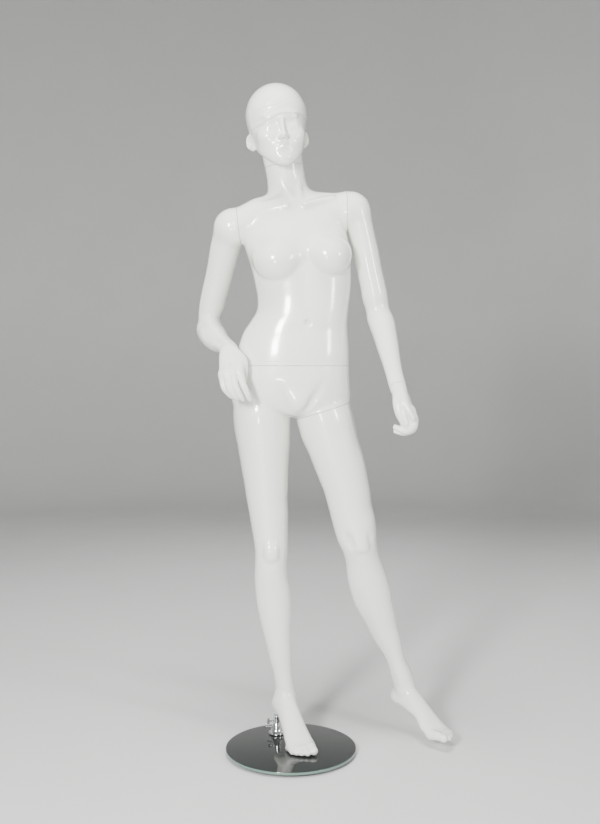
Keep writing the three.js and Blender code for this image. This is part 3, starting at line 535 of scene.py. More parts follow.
def right_arm(P):
    return arm(P, RIGHT_CAP, RIGHT_UPPER_ARM, RIGHT_FOREARM, RIGHT_ELBOW)


def left_arm(P):
    return arm(P, LEFT_CAP, LEFT_UPPER_ARM, LEFT_FOREARM, LEFT_ELBOW)


def torso(P):
    return blend_all(14, trunk_with_chest(P), ellipsoid(P, *RIGHT_CAP), ellipsoid(P, *LEFT_CAP))


# ---------------------------------------------------------------- the head

HEAD_AT = np.array([-37.0, 8.0, 1690.0])
HEAD_TURN = rotation(y=-0.09, z=0.15)
SKULL = Loft((0, 0, 0), (0, 0, 1), power=2.08, round_end=5, stations=[
    [-124, 0, -70, 7, 6, 5],
    [-120, 0, -67, 20, 13, 9],
    [-112, 0, -62, 33, 21, 13],
    [-102, 0, -53, 44, 31, 19],
    [-90, 0, -38, 54, 46, 36],
    [-78, 0, -25, 61, 58, 56],
    [-55, 0, -12, 67, 71, 75],
    [-30, 0, -2, 72.5, 84, 90],
    [-5, 0, 5, 76.5, 91, 97],
    [20, 0, 8, 78.5, 93, 98],
    [42, 0, 9, 76.5, 88, 93],
    [60, 0, 9, 66, 74, 80],
])


def cap_edge(Q):
    """Height above the cap's front edge, which dips towards the figure's right temple."""
    away = -5 - Q[:, 0]
    dip = 30 * np.tanh(0.01 * (away + np.sqrt(away * away + 40)))
    back = np.maximum(Q[:, 1] + 5, 0)
    return Q[:, 2] - (7.5 - dip - back * 0.5)


def cap_folds(Q):
    """Pleats that run up across the front of the cap from the figure's right temple."""
    x, z = Q[:, 0], Q[:, 2]
    line = z - 0.42 * x
    front = 1 / (1 + np.exp((Q[:, 1] + 30) / 8))
    reach = 1 / (1 + np.exp((x - 6) / 7)) / (1 + np.exp((-58 - x) / 5))
    pleats = 0
    for start, depth in ((25, 1.5), (37, 1.8), (48, 1.7), (61, 0.8)):
        t = (line - start) / 12
        rise = 1 / (1 + np.exp(-t * 18))
        pleats = pleats + depth * rise * np.exp(-np.maximum(t, 0) * 2.2)
    return front * reach * pleats


def face(Q):
    """The face in the head's own frame: -Y is forwards and +Z is up."""
    skin = smooth_min(SKULL(Q), ellipsoid(Q, (0, 10, 26), (78.5, 95.5, 80.5)), 6)
    side = np.abs(Q[:, 0])
    R = np.column_stack([side, Q[:, 1], Q[:, 2]])
    # cheeks, the front of the mouth, and the chin
    skin = smooth_min(skin, ellipsoid(R, (36, -56, -46), (24, 22, 24)), 30)
    skin = smooth_min(skin, ellipsoid(Q, (0, -66, -80), (30, 20, 24)), 18)
    skin = smooth_min(skin, ellipsoid(Q, (0, -72, -105), (18, 14, 14)), 16)
    # brow, then smooth eye sockets with unmarked lids
    skin = smooth_min(skin, ellipsoid(R, (18, -76, 1), (22, 8, 8), rotation(y=0.1)), 26)
    skin = carve(skin, ellipsoid(R, (28, -99, -21), (18, 16, 14), rotation(y=0.08)), 28)
    skin = smooth_min(skin, ellipsoid(R, (28, -72, -25), (15, 9.5, 9.5)), 16)
    # nose
    bridge = capsule(Q, (0, -86, -6), (0, -96.5, -49), 4.4, 6.4)
    tip = ellipsoid(Q, (0, -98, -52), (7.5, 8.5, 7.5))
    wings = ellipsoid(R, (7.6, -90.5, -55), (5.6, 7.5, 5.6))
    nose = blend_all(8, bridge, tip, wings)
    skin = smooth_min(skin, nose, 13)
    skin = carve(skin, ellipsoid(R, (4.6, -93.5, -61), (2.6, 4, 2.4)), 3.5)
    # groove under the nose, lips, and the hollow over the chin
    skin = carve(skin, capsule(Q, (0, -96, -64), (0, -92.5, -70), 1.8, 2.2), 8)
    upper = chain(R, [(0, -87, -73, 3.2), (6, -85.5, -72.5, 3.5), (15, -79.5, -75, 1.6)], 5)
    lower = capsule(R, (0, -86, -80.6), (12, -79.5, -79.2), 4.8, 2.8)
    skin = smooth_min(skin, upper, 8)
    skin = smooth_min(skin, lower, 8)
    mouth = chain(R, [(0, -93.4, -76.6, 1.4), (7, -92.0, -76.4, 1.2), (15, -86.5, -77, 0.7)], 1.5)
    skin = carve(skin, mouth, 6)
    return carve(skin, ellipsoid(Q, (0, -93, -92), (14, 7, 5)), 14)


def ear(Q, side):
    """One ear: a tilted shell with a rolled rim, a bowl, a small flap and a lobe."""
    turn = rotation(x=-0.16, z=-0.62 * side)
    centre = np.array([72.5 * side, 14, -45])
    q = ((Q - centre) @ turn) * (side, 1, 1)
    shell = ellipsoid(q, (0, 0, 0), (6.5, 14.5, 21.5))
    lobe = ellipsoid(q, (0, -5, -16), (5.5, 8, 7.5))
    shape = smooth_min(shell, lobe, 9)
    around = np.hypot(q[:, 1] / 12.2, q[:, 2] / 19.0)
    rim = np.hypot((around - 1) * 14, q[:, 0] - 4.5) - 2.4
    rim = rim + np.maximum(-9 - q[:, 2], 0) * 0.35
    shape = smooth_min(shape, rim, 4)
    shape = carve(shape, ellipsoid(q, (8, -2, -2), (6, 7.5, 11)), 5)
    return smooth_min(shape, ellipsoid(q, (3, -10.5, -4), (3.6, 3.6, 5.5)), 3)


def head(P):
    Q = (P - HEAD_AT) @ HEAD_TURN
    skin = face(Q)
    height = cap_edge(Q)
    step = 1 / (1 + np.exp(-height / 0.55))
    cap = skin - 2.3 - 0.9 * cap_folds(Q)
    skin = skin * (1 - step) + cap * step
    for side in (-1, 1):
        skin = smooth_min(skin, ear(Q, side), 6)
    neck = NECK(P)
    seam_at, seam_axis = SEAMS["neck"]
    above_seam = (P - seam_at) @ unit(seam_axis)
    under_jaw = smooth_max(neck - 8, above_seam - 8, 6)
    skin = carve(skin, under_jaw, 5)
    return smooth_min(skin, neck, 10)


# ---------------------------------------------------------------- hands

PALM = [
    [-10, 0, 0, 15, 12, 12],
    [2, 0, 0, 23, 19, 19],
    [16, 0, 0, 27.5, 19, 19.5],
    [34, 1, 0, 30, 15, 16],
    [58, 1, 0, 31, 10.5, 11.5],
    [76, 0, 0, 30, 8.5, 9],
    [90, 0, 0, 26, 7, 7],
]
# "thumb" is the way that the thumb side faces. "back_of_hand" is 1 where the back of the hand faces
# along x thumb, and -1 where the palm does. "fill" is the flesh between thumb and fingers. Digits are chains
# of joints [x, y, z, radius], thumb first.
HANDS = {
    "right": {
        "wrist": RIGHT_FOREARM,
        "bend": (-162, -54, 1078),
        "along": (0.11, -0.7, -0.7),
        "thumb": (0.96, -0.03, 0.25),
        "back_of_hand": 1,
        "fill": [[-150, -72, 1058, 11], [-138, -90, 1042, 8]],
        "digits": [
            [[-146, -66, 1068, 14], [-126, -80, 1052, 12], [-121, -88, 1026, 10], [-122, -88, 1000, 7.6]],
            [[-133, -104, 1030, 10], [-123, -122, 994, 8.8], [-112, -122, 968, 7.6], [-105, -114, 951, 6]],
            [[-150, -108, 1026, 10], [-142, -127, 988, 9], [-131, -125, 964, 7.8], [-123, -117, 951, 6]],
            [[-165, -107, 1020, 9.8], [-158, -125, 985, 8.6], [-146, -122, 964, 7.4], [-137, -114, 953, 6]],
            [[-177, -102, 1013, 9], [-172, -117, 984, 7.6], [-161, -112, 967, 6.8], [-151, -105, 957, 5.6]],
        ],
    },
    "left": {
        "wrist": LEFT_FOREARM,
        "bend": (283, -82, 968),
        "along": (0.45, -0.3, -0.84),
        "thumb": (-0.25, -0.95, 0.2),
        "back_of_hand": -1,
        "fill": [[298, -86, 945, 13], [304, -88, 900, 11]],
        "digits": [
            [[281, -92, 962, 14], [278, -106, 942, 14], [283, -114, 914, 13], [295, -117, 888, 10]],
            [[311, -105, 921, 10.5], [319, -112, 886, 10], [297, -114, 869, 9], [270, -112, 878, 6]],
            [[313, -88, 917, 10.5], [320, -92, 878, 10], [296, -94, 865, 9], [273, -93, 867, 6]],
            [[311, -71, 913, 10], [312, -74, 875, 9.4], [290, -76, 865, 8.4], [275, -76, 870, 5.8]],
            [[305, -56, 915, 9], [304, -58, 882, 8], [287, -60, 873, 7], [275, -62, 878, 5.4]],
        ],
    },
}


def smooth_path(joints, steps=4):
    """More joints along a smooth curve through the given ones."""
    padded = np.vstack([2 * joints[0] - joints[1], joints, 2 * joints[-1] - joints[-2]])
    rows = []
    for i in range(1, len(padded) - 2):
        a, b, c, d = padded[i - 1 : i + 3]
        for t in np.arange(steps) / steps:
            curl = 2 * a - 5 * b + 4 * c - d + t * (3 * (b - c) + d - a)
            rows.append(b + 0.5 * t * (c - a + t * curl))
    return np.array(rows + [joints[-1]])


def hand(P, which):
    made = HANDS[which]
    bend, along = np.array(made["bend"], float), unit(made["along"])
    side = made["thumb"]
    palm = Loft(bend, bend + along, PALM, power=2.2, side=side, back=np.cross(along, side), round_end=7)
    body = smooth_min(palm(P), made["wrist"](P), 16)
    fill = chain(P, np.array(made["fill"], float), 6)
    body = smooth_min(body, fill, 10)
    thumb, *fingers = [np.array(d, float) for d in made["digits"]]
    body = smooth_min(body, chain(P, smooth_path(thumb), 2), 12)
    back = palm.back * made["back_of_hand"]
    for joints in fingers:
        tendon = capsule(P, bend + back * 7, joints[0, :3] + back * 3, 5, 6)
        body = smooth_min(body, tendon, 10)
    digits = chain(P, smooth_path(fingers[1]), 2)
    for joints in fingers[2:]:
        digits = smooth_min(digits, chain(P, smooth_path(joints), 2), 6)
    digits = smooth_min(digits, chain(P, smooth_path(fingers[0]), 2), 2.5)
    body = smooth_min(body, digits, 16)
    for joints in [thumb] + fingers:
        body = smooth_min(body, nail(P, joints, back), 0.8)
    return body


def nail(P, joints, back):
    """A thin nail on the back of the last joint."""
    tip, before = joints[-1], joints[-2]
    along = unit(tip[:3] - before[:3])
    up = unit(back - along * (back @ along))
    across = np.cross(along, up)
    q = P - (tip[:3] - along * 1.5 + up * tip[3] * 0.62)
    local = np.column_stack([q @ across, q @ along, q @ up])
    return ellipsoid(local, (0, 0, 0), (tip[3] * 0.72, tip[3] * 1.05, tip[3] * 0.46))


# ---------------------------------------------------------------- from field to mesh

BLOCK = 8
# Stands in for the field in blocks that the surface doesn't reach.
FAR = 1e3
# How far beyond its node's box a shell is sampled, in mm.
SAMPLE_MARGIN = 14
CORNERS = [(i, j, k) for i in (0, 1) for j in (0, 1) for k in (0, 1)]


def in_chunks(field, P, size=150_000):
    return np.concatenate([field(P[i : i + size]) for i in range(0, len(P), size)])


def sample_grid(field, low, high, cell):
    """Field values on a grid, worked out only in the blocks that the surface may cross."""
    blocks = np.ceil((high - low) / (cell * BLOCK)).astype(int)
    index = np.stack(np.meshgrid(*[np.arange(b) for b in blocks], indexing="ij"), -1).reshape(-1, 3)
    centres = low + (index + 0.5) * BLOCK * cell
    middle = in_chunks(field, centres)
    shape = blocks * BLOCK + 1
    grid = np.zeros(shape)
    lookup = [np.minimum(np.arange(n) // BLOCK, b - 1) for n, b in zip(shape, blocks)]
    signs = np.sign(middle).reshape(blocks) * FAR
    grid[:] = signs[np.ix_(*lookup)]
    # half a block's diagonal, with room for fields that run steeper than distance
    reach = 0.5 * math.sqrt(3) * BLOCK * cell * 1.35 + 2
    local = np.stack(np.meshgrid(*[np.arange(BLOCK + 1)] * 3, indexing="ij"), -1).reshape(-1, 3)
    active = index[np.abs(middle) < reach]
    for i in range(0, len(active), 200):
        at = (active[i : i + 200, None, :] * BLOCK + local[None]).reshape(-1, 3)
        grid[at[:, 0], at[:, 1], at[:, 2]] = field(low + at * cell)
    return grid


def surface_net(grid, low, cell):
    """Vertices and four-sided faces of the zero surface of a grid."""
    n = np.array(grid.shape) - 1
    inside = grid < 0
    corner = {c: inside[c[0] : c[0] + n[0], c[1] : c[1] + n[1], c[2] : c[2] + n[2]] for c in CORNERS}
    count = sum(c.astype(np.int8) for c in corner.values())
    cells = np.argwhere((count > 0) & (count < 8))
    ids = -np.ones(n, np.int64)
    ids[tuple(cells.T)] = np.arange(len(cells))
    total = np.zeros((len(cells), 3))
    hits = np.zeros(len(cells))
    for c in CORNERS:
        for axis in range(3):
            if c[axis]:
                continue
            step = np.eye(3, dtype=int)[axis]
            a, b = cells + c, cells + c + step
            va, vb = grid[tuple(a.T)], grid[tuple(b.T)]
            cross = (va < 0) != (vb < 0)
            t = va[cross] / (va[cross] - vb[cross])
            total[cross] += a[cross] + t[:, None] * step
            hits[cross] += 1
    points = low + total / hits[:, None] * cell
    faces = []
    for axis in range(3):
        u, v = (axis + 1) % 3, (axis + 2) % 3
        first = np.take(inside, range(grid.shape[axis] - 1), axis)
        second = np.take(inside, range(1, grid.shape[axis]), axis)
        for flip, change in ((False, first & ~second), (True, ~first & second)):
            at = np.argwhere(change)
            keep = (at[:, u] > 0) & (at[:, v] > 0) & (at[:, u] < n[u]) & (at[:, v] < n[v])
            at = at[keep]
            du, dv = np.eye(3, dtype=int)[u], np.eye(3, dtype=int)[v]
            quad = np.stack([ids[tuple(c.T)] for c in (at - du - dv, at - dv, at, at - du)], 1)
            faces.append(quad[:, ::-1] if flip else quad)
    return points, np.concatenate(faces)


def slope_of(field, P, step=0.35):
    out = np.empty_like(P)
    for axis in range(3):
        shift = np.zeros(3)
        shift[axis] = step
        out[:, axis] = (in_chunks(field, P + shift) - in_chunks(field, P - shift)) / (2 * step)
    return out


def settle(field, points, faces, cell, rounds=2, relax=0.6):
    """Slides vertices along the surface to even them out, and puts them exactly on it."""
    edges = np.concatenate([faces[:, [0, 1]], faces[:, [1, 2]], faces[:, [2, 3]], faces[:, [3, 0]]])
    degree = np.bincount(edges.ravel(), minlength=len(points))[:, None]
    for _ in range(rounds):
        total = np.zeros_like(points)
        for axis in range(3):
            total[:, axis] += np.bincount(edges[:, 0], points[edges[:, 1], axis], len(points))
            total[:, axis] += np.bincount(edges[:, 1], points[edges[:, 0], axis], len(points))
        moved = points + relax * (total / degree - points)
        slope = slope_of(field, moved)
        size = np.maximum((slope**2).sum(1), 1e-3)
        shift = (in_chunks(field, moved) / size)[:, None] * slope
        limit = np.minimum(1, cell / np.maximum(np.linalg.norm(shift, axis=1), 1e-9))
        points = moved - shift * limit[:, None]
    return points


def object_from(name, bm, crease=None):
    """A smooth-shaded object, with sharp edges where it bends by more than the crease in degrees."""
    mesh = bpy.data.meshes.new(name)
    bm.to_mesh(mesh)
    bm.free()
    mesh.shade_smooth()
    if crease:
        mesh.set_sharp_from_angle(angle=math.radians(crease))
    made = bpy.data.objects.new(name, mesh)
    bpy.context.scene.collection.objects.link(made)
    return made


def near(seam, side, reach):
    """A seam whose cut only touches the faces within reach of its centre."""
    return seam, side, lambda P: np.linalg.norm(P - SEAMS[seam][0], axis=1) < reach


def on_neck_stub(P):
    """The head's share of the neck, without the chin in front of it."""
    return NECK(P) < 5


def on_left_thigh(P):
    return (LEFT_LEG(P) < RIGHT_LEG(P)) & (P[:, 0] > 6)


def seam_face(bm, seam, side, region=None):
    """Cuts the mesh flat at a seam and closes it: a small round edge, a flat rim and a recess for the
    fitting. side is +1 to keep what lies beyond the seam, -1 to keep what lies before it. Only faces in the
    region are cut."""
    at, away = SEAMS[seam]
    away = unit(away)
    plate, depth = FITTINGS[seam]
    keep = away * side
    cut = at + keep * (SEAM_GAP / 2 + LIP)
    touched = bm.faces[:]
    if region:
        inside = region(np.array([f.calc_center_median() for f in touched]) / MM)
        touched = [f for f, is_inside in zip(touched, inside) if is_inside]
    geometry = list(dict.fromkeys(part for f in touched for part in (*f.verts, *f.edges)))
    geometry += touched
    bmesh.ops.bisect_plane(
        bm,
        geom=geometry,
        plane_co=Vector(cut * MM),
        plane_no=Vector(-keep),
        clear_outer=True,
    )
    loop = boundary_loop(bm, cut, away)
    centre = at + keep * (SEAM_GAP / 2)
    x = unit(np.cross(away, (0.3, 0.9, 0.2)))
    y = np.cross(away, x)
    base = np.array([np.array(v.co) / MM for v in loop])
    radial = base - at
    radial -= np.outer(radial @ away, away)
    reach = np.linalg.norm(radial, axis=1)
    radial /= reach[:, None]
    rings = [loop]
    for turn in (30, 60, 90):
        angle = math.radians(turn)
        down, inward = LIP * math.sin(angle), LIP * (1 - math.cos(angle))
        rings.append(add_ring(bm, base - keep * down - radial * inward))
    angles = np.arctan2(radial @ y, radial @ x)
    circle = np.outer(np.cos(angles), x) + np.outer(np.sin(angles), y)
    rings.append(add_ring(bm, centre + circle * plate))
    rings.append(add_ring(bm, centre + circle * plate + keep * depth))
    rings.append(add_ring(bm, centre + circle * plate * 0.5 + keep * depth))
    for outer, inner in zip(rings[:-1], rings[1:]):
        for i in range(len(loop)):
            j = (i + 1) % len(loop)
            bm.faces.new((outer[i], outer[j], inner[j], inner[i]))
    hub = bm.verts.new(Vector((centre + keep * depth) * MM))
    for i in range(len(loop)):
        bm.faces.new((rings[-1][i], rings[-1][(i + 1) % len(loop)], hub))


def boundary_loop(bm, cut, away):
    """The longest open edge that lies on the cut, as vertices in order."""

    def on_cut(v):
        return abs((np.array(v.co) / MM - cut) @ away) < 0.05

    edges = dict.fromkeys(e for e in bm.edges if e.is_boundary and all(on_cut(v) for v in e.verts))
    loops = []
    while edges:
        first, _ = edges.popitem()
        loop = list(first.verts)
        while True:
            step = next((e for e in loop[-1].link_edges if e in edges), None)
            if step is None:
                break
            del edges[step]
            loop.append(step.other_vert(loop[-1]))
        if loop[0] == loop[-1]:
            loop.pop()
        loops.append(loop)
    return max(loops, key=len)


def add_ring(bm, points):
    return [bm.verts.new(Vector(p * MM)) for p in points]


def keep_largest(points, faces):
    """Drops stray pieces of the surface that touch the edge of the sampled box."""
    parent = np.arange(len(points))
    while True:
        low = np.minimum.reduceat(parent[faces], [0], axis=1)[:, 0]
        fresh = parent.copy()
        np.minimum.at(fresh, faces.ravel(), np.repeat(low, 4))
        fresh = fresh[fresh]
        if (fresh == parent).all():
            break
        parent = fresh
    label = np.bincount(parent[faces[:, 0]]).argmax()
    faces = faces[parent[faces[:, 0]] == label]
    used = np.unique(faces)
    remap = np.zeros(len(points), np.int64)
    remap[used] = np.arange(len(used))
    return points[used], remap[faces]


def score_line(bm, height, width=2.0, depth=0.6):
    """A shallow groove round the shell at a height, in mm."""
    for h in (height - width / 2, height, height + width / 2):
        geometry = bm.verts[:] + bm.edges[:] + bm.faces[:]
        bmesh.ops.bisect_plane(bm, geom=geometry, plane_co=(0, 0, h * MM), plane_no=(0, 0, 1))
    bm.normal_update()
    for v in bm.verts:
        if abs(v.co.z / MM - height) < 0.02:
            v.co -= v.normal * depth * MM


def build_shell(node, field, cell, body, seams):
    """One shell of the figure. seams lists (seam, side to keep, region that the cut touches)."""
    low, high = box_mm(node, SAMPLE_MARGIN)
    points, faces = surface_net(sample_grid(field, low, high, cell), low, cell)
    points, faces = keep_largest(points, faces)
    points = settle(field, points, faces, cell)
    bm = bmesh.new()
    verts = [bm.verts.new(p) for p in (points * MM).tolist()]
    for quad in faces.tolist():
        bm.faces.new([verts[i] for i in quad])
    for seam in seams:
        seam_face(bm, *seam)
    if node == "torso_shell":
        score_line(bm, WAIST_Z + SCORE_RISE)
    bmesh.ops.recalc_face_normals(bm, faces=bm.faces)
    made = object_from(node.replace("_shell", "") + "_moulding", bm, crease=38)
    finish_piece(made, "body_gloss", body, node)


def finish_piece(made, slot, body, node):
    """Gives a new piece its material and its body, and hides the frame's node that it stands for."""
    made.data.materials.append(LOOKS[slot])
    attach(made, body)
    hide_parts(node)


# ---------------------------------------------------------------- materials


class Finish:
    """A material: one Principled shader, with its inputs driven by noise in object space."""

    def __init__(self, name, **settings):
        self.material = bpy.data.materials.new(name)
        self.material.use_nodes = True
        self.tree = self.material.node_tree
        self.tree.nodes.clear()
        self.at = self.add("ShaderNodeTexCoord").outputs["Object"]
        self.shader = self.add("ShaderNodeBsdfPrincipled")
        for key, value in settings.items():
            self.shader.inputs[key.replace("_", " ")].default_value = value
        out = self.add("ShaderNodeOutputMaterial")
        self.link(self.shader.outputs[0], out.inputs["Surface"])

    def add(self, kind, **settings):
        node = self.tree.nodes.new(kind)
        for key, value in settings.items():
            if key in node.inputs.keys():
                node.inputs[key].default_value = value
            else:
                setattr(node, key, value)
        return node

    def link(self, source, target):
        self.tree.links.new(source, target)

    def drive(self, key, source):
        self.link(source, self.shader.inputs[key])

    def noise(self, scale, detail, roughness=0.5):
        node = self.add("ShaderNodeTexNoise", Scale=scale, Detail=detail, Roughness=roughness)
        self.link(self.at, node.inputs["Vector"])
        return node.outputs["Fac"]

    def spread(self, source, low, high, out_low, out_high):
        node = self.add("ShaderNodeMapRange")
        for key, value in zip(("From Min", "From Max", "To Min", "To Max"), (low, high, out_low, out_high)):
            node.inputs[key].default_value = value
        self.link(source, node.inputs["Value"])
        return node.outputs["Result"]

    def math(self, operation, a, b=0):
        node = self.add("ShaderNodeMath", operation=operation)
        for slot, value in zip(node.inputs, (a, b)):
            if isinstance(value, (int, float)):
                slot.default_value = value
            else:
                self.link(value, slot)
        return node.outputs[0]

    def mix(self, factor, a, b):
        """A colour between a and b; each is red, green and blue, or another node's output."""
        node = self.add("ShaderNodeMix", data_type="RGBA")
        self.link(factor, node.inputs[0])
        for slot, value in ((node.inputs[6], a), (node.inputs[7], b)):
            if isinstance(value, tuple):
                slot.default_value = (*value, 1)
            else:
                self.link(value, slot)
        return node.outputs[2]

    def bump(self, height, strength, distance):
        node = self.add("ShaderNodeBump", Strength=strength, Distance=distance)
        self.link(height, node.inputs["Height"])
        return node.outputs["Normal"]


def gloss_white():
    """Sprayed and polished white enamel over glass fibre."""
    m = Finish("gloss_white_enamel", IOR=1.5, Coat_Weight=0.7)
    broad = m.noise(5.0, 2.0)
    fine = m.noise(240.0, 4.0)
    hand_rubbed = m.noise(26.0, 5.0, 0.6)
    colour = m.mix(broad, (0.85, 0.85, 0.79), (0.82, 0.82, 0.765))
    grime = m.spread(hand_rubbed, 0.62, 0.80, 0.0, 0.10)
    m.drive("Base Color", m.mix(grime, colour, (0.60, 0.60, 0.55)))
    m.drive("Roughness", m.spread(hand_rubbed, 0.3, 0.75, 0.16, 0.30))
    m.drive("Coat Roughness", m.spread(fine, 0.3, 0.7, 0.06, 0.10))
    normal = m.bump(m.math("ADD", hand_rubbed, m.math("MULTIPLY", fine, 0.05)), 0.12, 0.0009)
    m.drive("Normal", normal)
    m.drive("Coat Normal", normal)
    return m.material


def chrome():
    m = Finish("polished_chrome", Metallic=1.0)
    smear = m.noise(90.0, 5.0, 0.65)
    m.drive("Base Color", m.mix(smear, (0.86, 0.87, 0.88), (0.76, 0.77, 0.79)))
    m.drive("Roughness", m.spread(smear, 0.35, 0.7, 0.05, 0.16))
    m.drive("Normal", m.bump(m.noise(900.0, 2.0), 0.08, 0.0002))
    return m.material


def plated_steel():
    m = Finish("zinc_plated_steel", Metallic=1.0)
    cloud = m.noise(60.0, 6.0, 0.7)
    grain = m.add("ShaderNodeTexVoronoi", Scale=420.0)
    m.link(m.at, grain.inputs["Vector"])
    m.drive("Base Color", m.mix(cloud, (0.60, 0.61, 0.63), (0.44, 0.45, 0.47)))
    m.drive("Roughness", m.spread(cloud, 0.3, 0.7, 0.26, 0.46))
    m.drive("Normal", m.bump(grain.outputs["Distance"], 0.10, 0.0002))
    return m.material


def black_rubber():
    m = Finish("black_rubber")
    dust = m.noise(40.0, 5.0, 0.6)
    dusty = m.spread(dust, 0.5, 0.8, 0.0, 0.6)
    m.drive("Base Color", m.mix(dusty, (0.018, 0.019, 0.020), (0.07, 0.07, 0.065)))
    m.drive("Roughness", m.spread(dust, 0.3, 0.7, 0.55, 0.8))
    m.drive("Normal", m.bump(m.noise(700.0, 5.0, 0.7), 0.25, 0.0003))
    return m.material


def dark_glass():
    """Toughened glass, dark from above, with a lighter green painted on the rim where the surface faces
    sideways: a painted glow standing in for light seen through the glass edge.
    """
    m = Finish("dark_base_glass", IOR=1.52, Transmission_Weight=0.25, Coat_Weight=0.4, Coat_Roughness=0.02)
    split = m.add("ShaderNodeSeparateXYZ")
    m.link(m.add("ShaderNodeNewGeometry").outputs["Normal"], split.inputs[0])
    # painted edge glow: faces that point sideways get a lighter green, standing in for light caught by the
    # rim, over the glass's own dark tint
    rim = m.spread(m.math("ABSOLUTE", split.outputs["Z"]), 0.2, 0.9, 1.0, 0.0)
    m.drive("Base Color", m.mix(rim, (0.022, 0.027, 0.025), (0.16, 0.25, 0.21)))
    m.drive("Roughness", m.spread(m.noise(16.0, 5.0, 0.65), 0.35, 0.75, 0.015, 0.07))
    m.drive("Normal", m.bump(m.noise(520.0, 2.0), 0.03, 0.0001))
    return m.material


def matt_floor():
    m = Finish("studio_floor")
    soft = m.noise(3.0, 4.0)
    m.drive("Base Color", m.mix(soft, (0.70, 0.70, 0.69), (0.66, 0.66, 0.65)))
    m.drive("Roughness", m.spread(soft, 0.3, 0.7, 0.5, 0.65))
    return m.material


# The record's material slots.
LOOKS = {
    "body_gloss": gloss_white(),
    "chrome": chrome(),
    "fitting_steel": plated_steel(),
    "rubber": black_rubber(),
    "glass": dark_glass(),
}


# ---------------------------------------------------------------- turned fittings

UP = (0, 0, 1)
FOOT_AT = (*centre_of("heel_rod")[:2], 0)
ROD_RADIUS = radius_of("heel_rod")


def frame_along(axis):
    """Columns x, y, axis of a right-handed frame."""
    axis = unit(axis)
    x = unit(np.cross((0.13, 0.9, 0.42), axis))
    return np.column_stack([x, np.cross(axis, x), axis])


def arc(centre, radius, from_deg, to_deg, steps=5):
    """Profile points round a corner, as [radius, height]."""
    turn = np.radians(np.linspace(from_deg, to_deg, steps + 1))
    return [[centre[0] + radius * math.cos(a), centre[1] + radius * math.sin(a)] for a in turn]


def ring_profile(inner, outer, bottom, top, edge):
    """The closed section of a ring with rounded edges."""
    return (
        arc((outer - edge, bottom + edge), edge, -90, 0)
        + arc((outer - edge, top - edge), edge, 0, 90)
        + arc((inner + edge, top - edge), edge, 90, 180)
        + arc((inner + edge, bottom + edge), edge, 180, 270)
    )


def rod_profile(radius, bottom, top, edge):
    """The half section of a solid bar with rounded ends, from axis to axis."""
    return (
        [[0, bottom]]
        + arc((radius - edge, bottom + edge), edge, -90, 0, 3)
        + arc((radius - edge, top - edge), edge, 0, 90, 3)
        + [[0, top]]
    )


def turned_piece(
    name, node, profile, slot, body, origin=FOOT_AT, axis=UP, around=64, closed=False, relief=None
):
    """A solid of revolution. relief(angle, height, radius) adds to the radius, for knurls and flats."""
    columns = frame_along(axis)
    origin = np.asarray(origin, float)
    bm = bmesh.new()
    rows = []
    for r, h in profile:
        if r < 1e-6:
            rows.append([bm.verts.new((origin + columns[:, 2] * h) * MM)])
            continue
        row = []
        for k in range(around):
            a = 2 * math.pi * k / around
            reach = r + (relief(a, h, r) if relief else 0)
            local = np.array([reach * math.cos(a), reach * math.sin(a), h])
            row.append(bm.verts.new((origin + columns @ local) * MM))
        rows.append(row)
    pairs = list(zip(rows[:-1], rows[1:]))
    if closed:
        pairs.append((rows[-1], rows[0]))
    for low, high in pairs:
        for k in range(around):
            j = (k + 1) % around
            ring = [low[k % len(low)], low[j % len(low)], high[j % len(high)], high[k % len(high)]]
            ring = list(dict.fromkeys(ring))
            if len(ring) > 2:
                bm.faces.new(ring)
    bmesh.ops.recalc_face_normals(bm, faces=bm.faces)
    finish_piece(object_from(name, bm, crease=32), slot, body, node)


def build_glass():
    radius = radius_of("glass_base")
    profile = rod_profile(radius, *span_of("glass_base"), 1.6)
    turned_piece("glass_disc", "glass_base", profile, "glass", "base", origin=(0, 0, 0), around=256)


def build_cone():
    """The flange with its gasket: a wide foot, a concave cone and a collar with a turned groove."""
    foot_radius, bore = radius_of("cone_flange"), ROD_RADIUS + 0.2
    gasket = ring_profile(5, foot_radius - 0.2, *span_of("flange_gasket"), 0.3)
    turned_piece("cone_gasket", "flange_gasket", gasket, "rubber", "base", closed=True, around=96)
    foot_z, top_z = span_of("cone_flange")
    profile = [[bore, foot_z]]
    profile += arc((foot_radius - 0.8, foot_z + 0.8), 0.8, -90, 0, 4)
    profile += arc((foot_radius - 1.2, foot_z + 2.6), 1.2, 0, 75, 4)
    for h, r in ((5.0, 19.4), (8.0, 17.2), (12.0, 15.3), (17.0, 13.6), (22.0, 12.5)):
        profile.append([r, foot_z + h])
    profile += [[11.2, foot_z + 26], [10.6, foot_z + 27], [9.8, foot_z + 28.5], [9.5, foot_z + 30.5]]
    profile += [[9.5, top_z - 6.2], [9.0, top_z - 5.8], [9.0, top_z - 5.2], [9.5, top_z - 4.8]]
    profile += arc((8.5, top_z - 1), 1.0, 0, 90, 4)
    profile += arc((bore + 0.6, top_z - 0.6), 0.6, 90, 180, 3)
    turned_piece("cone_casting", "cone_flange", profile, "chrome", "base", closed=True, around=128)


def build_rod():
    rod = rod_profile(ROD_RADIUS, *span_of("heel_rod"), 0.9)
    turned_piece("heel_support_rod", "heel_rod", rod, "chrome", "rod")
    tube = ring_profile(ROD_RADIUS + 0.4, radius_of("heel_socket"), *span_of("heel_socket"), 0.5)
    turned_piece("heel_socket_tube", "heel_socket", tube, "fitting_steel", "lower_body", closed=True)


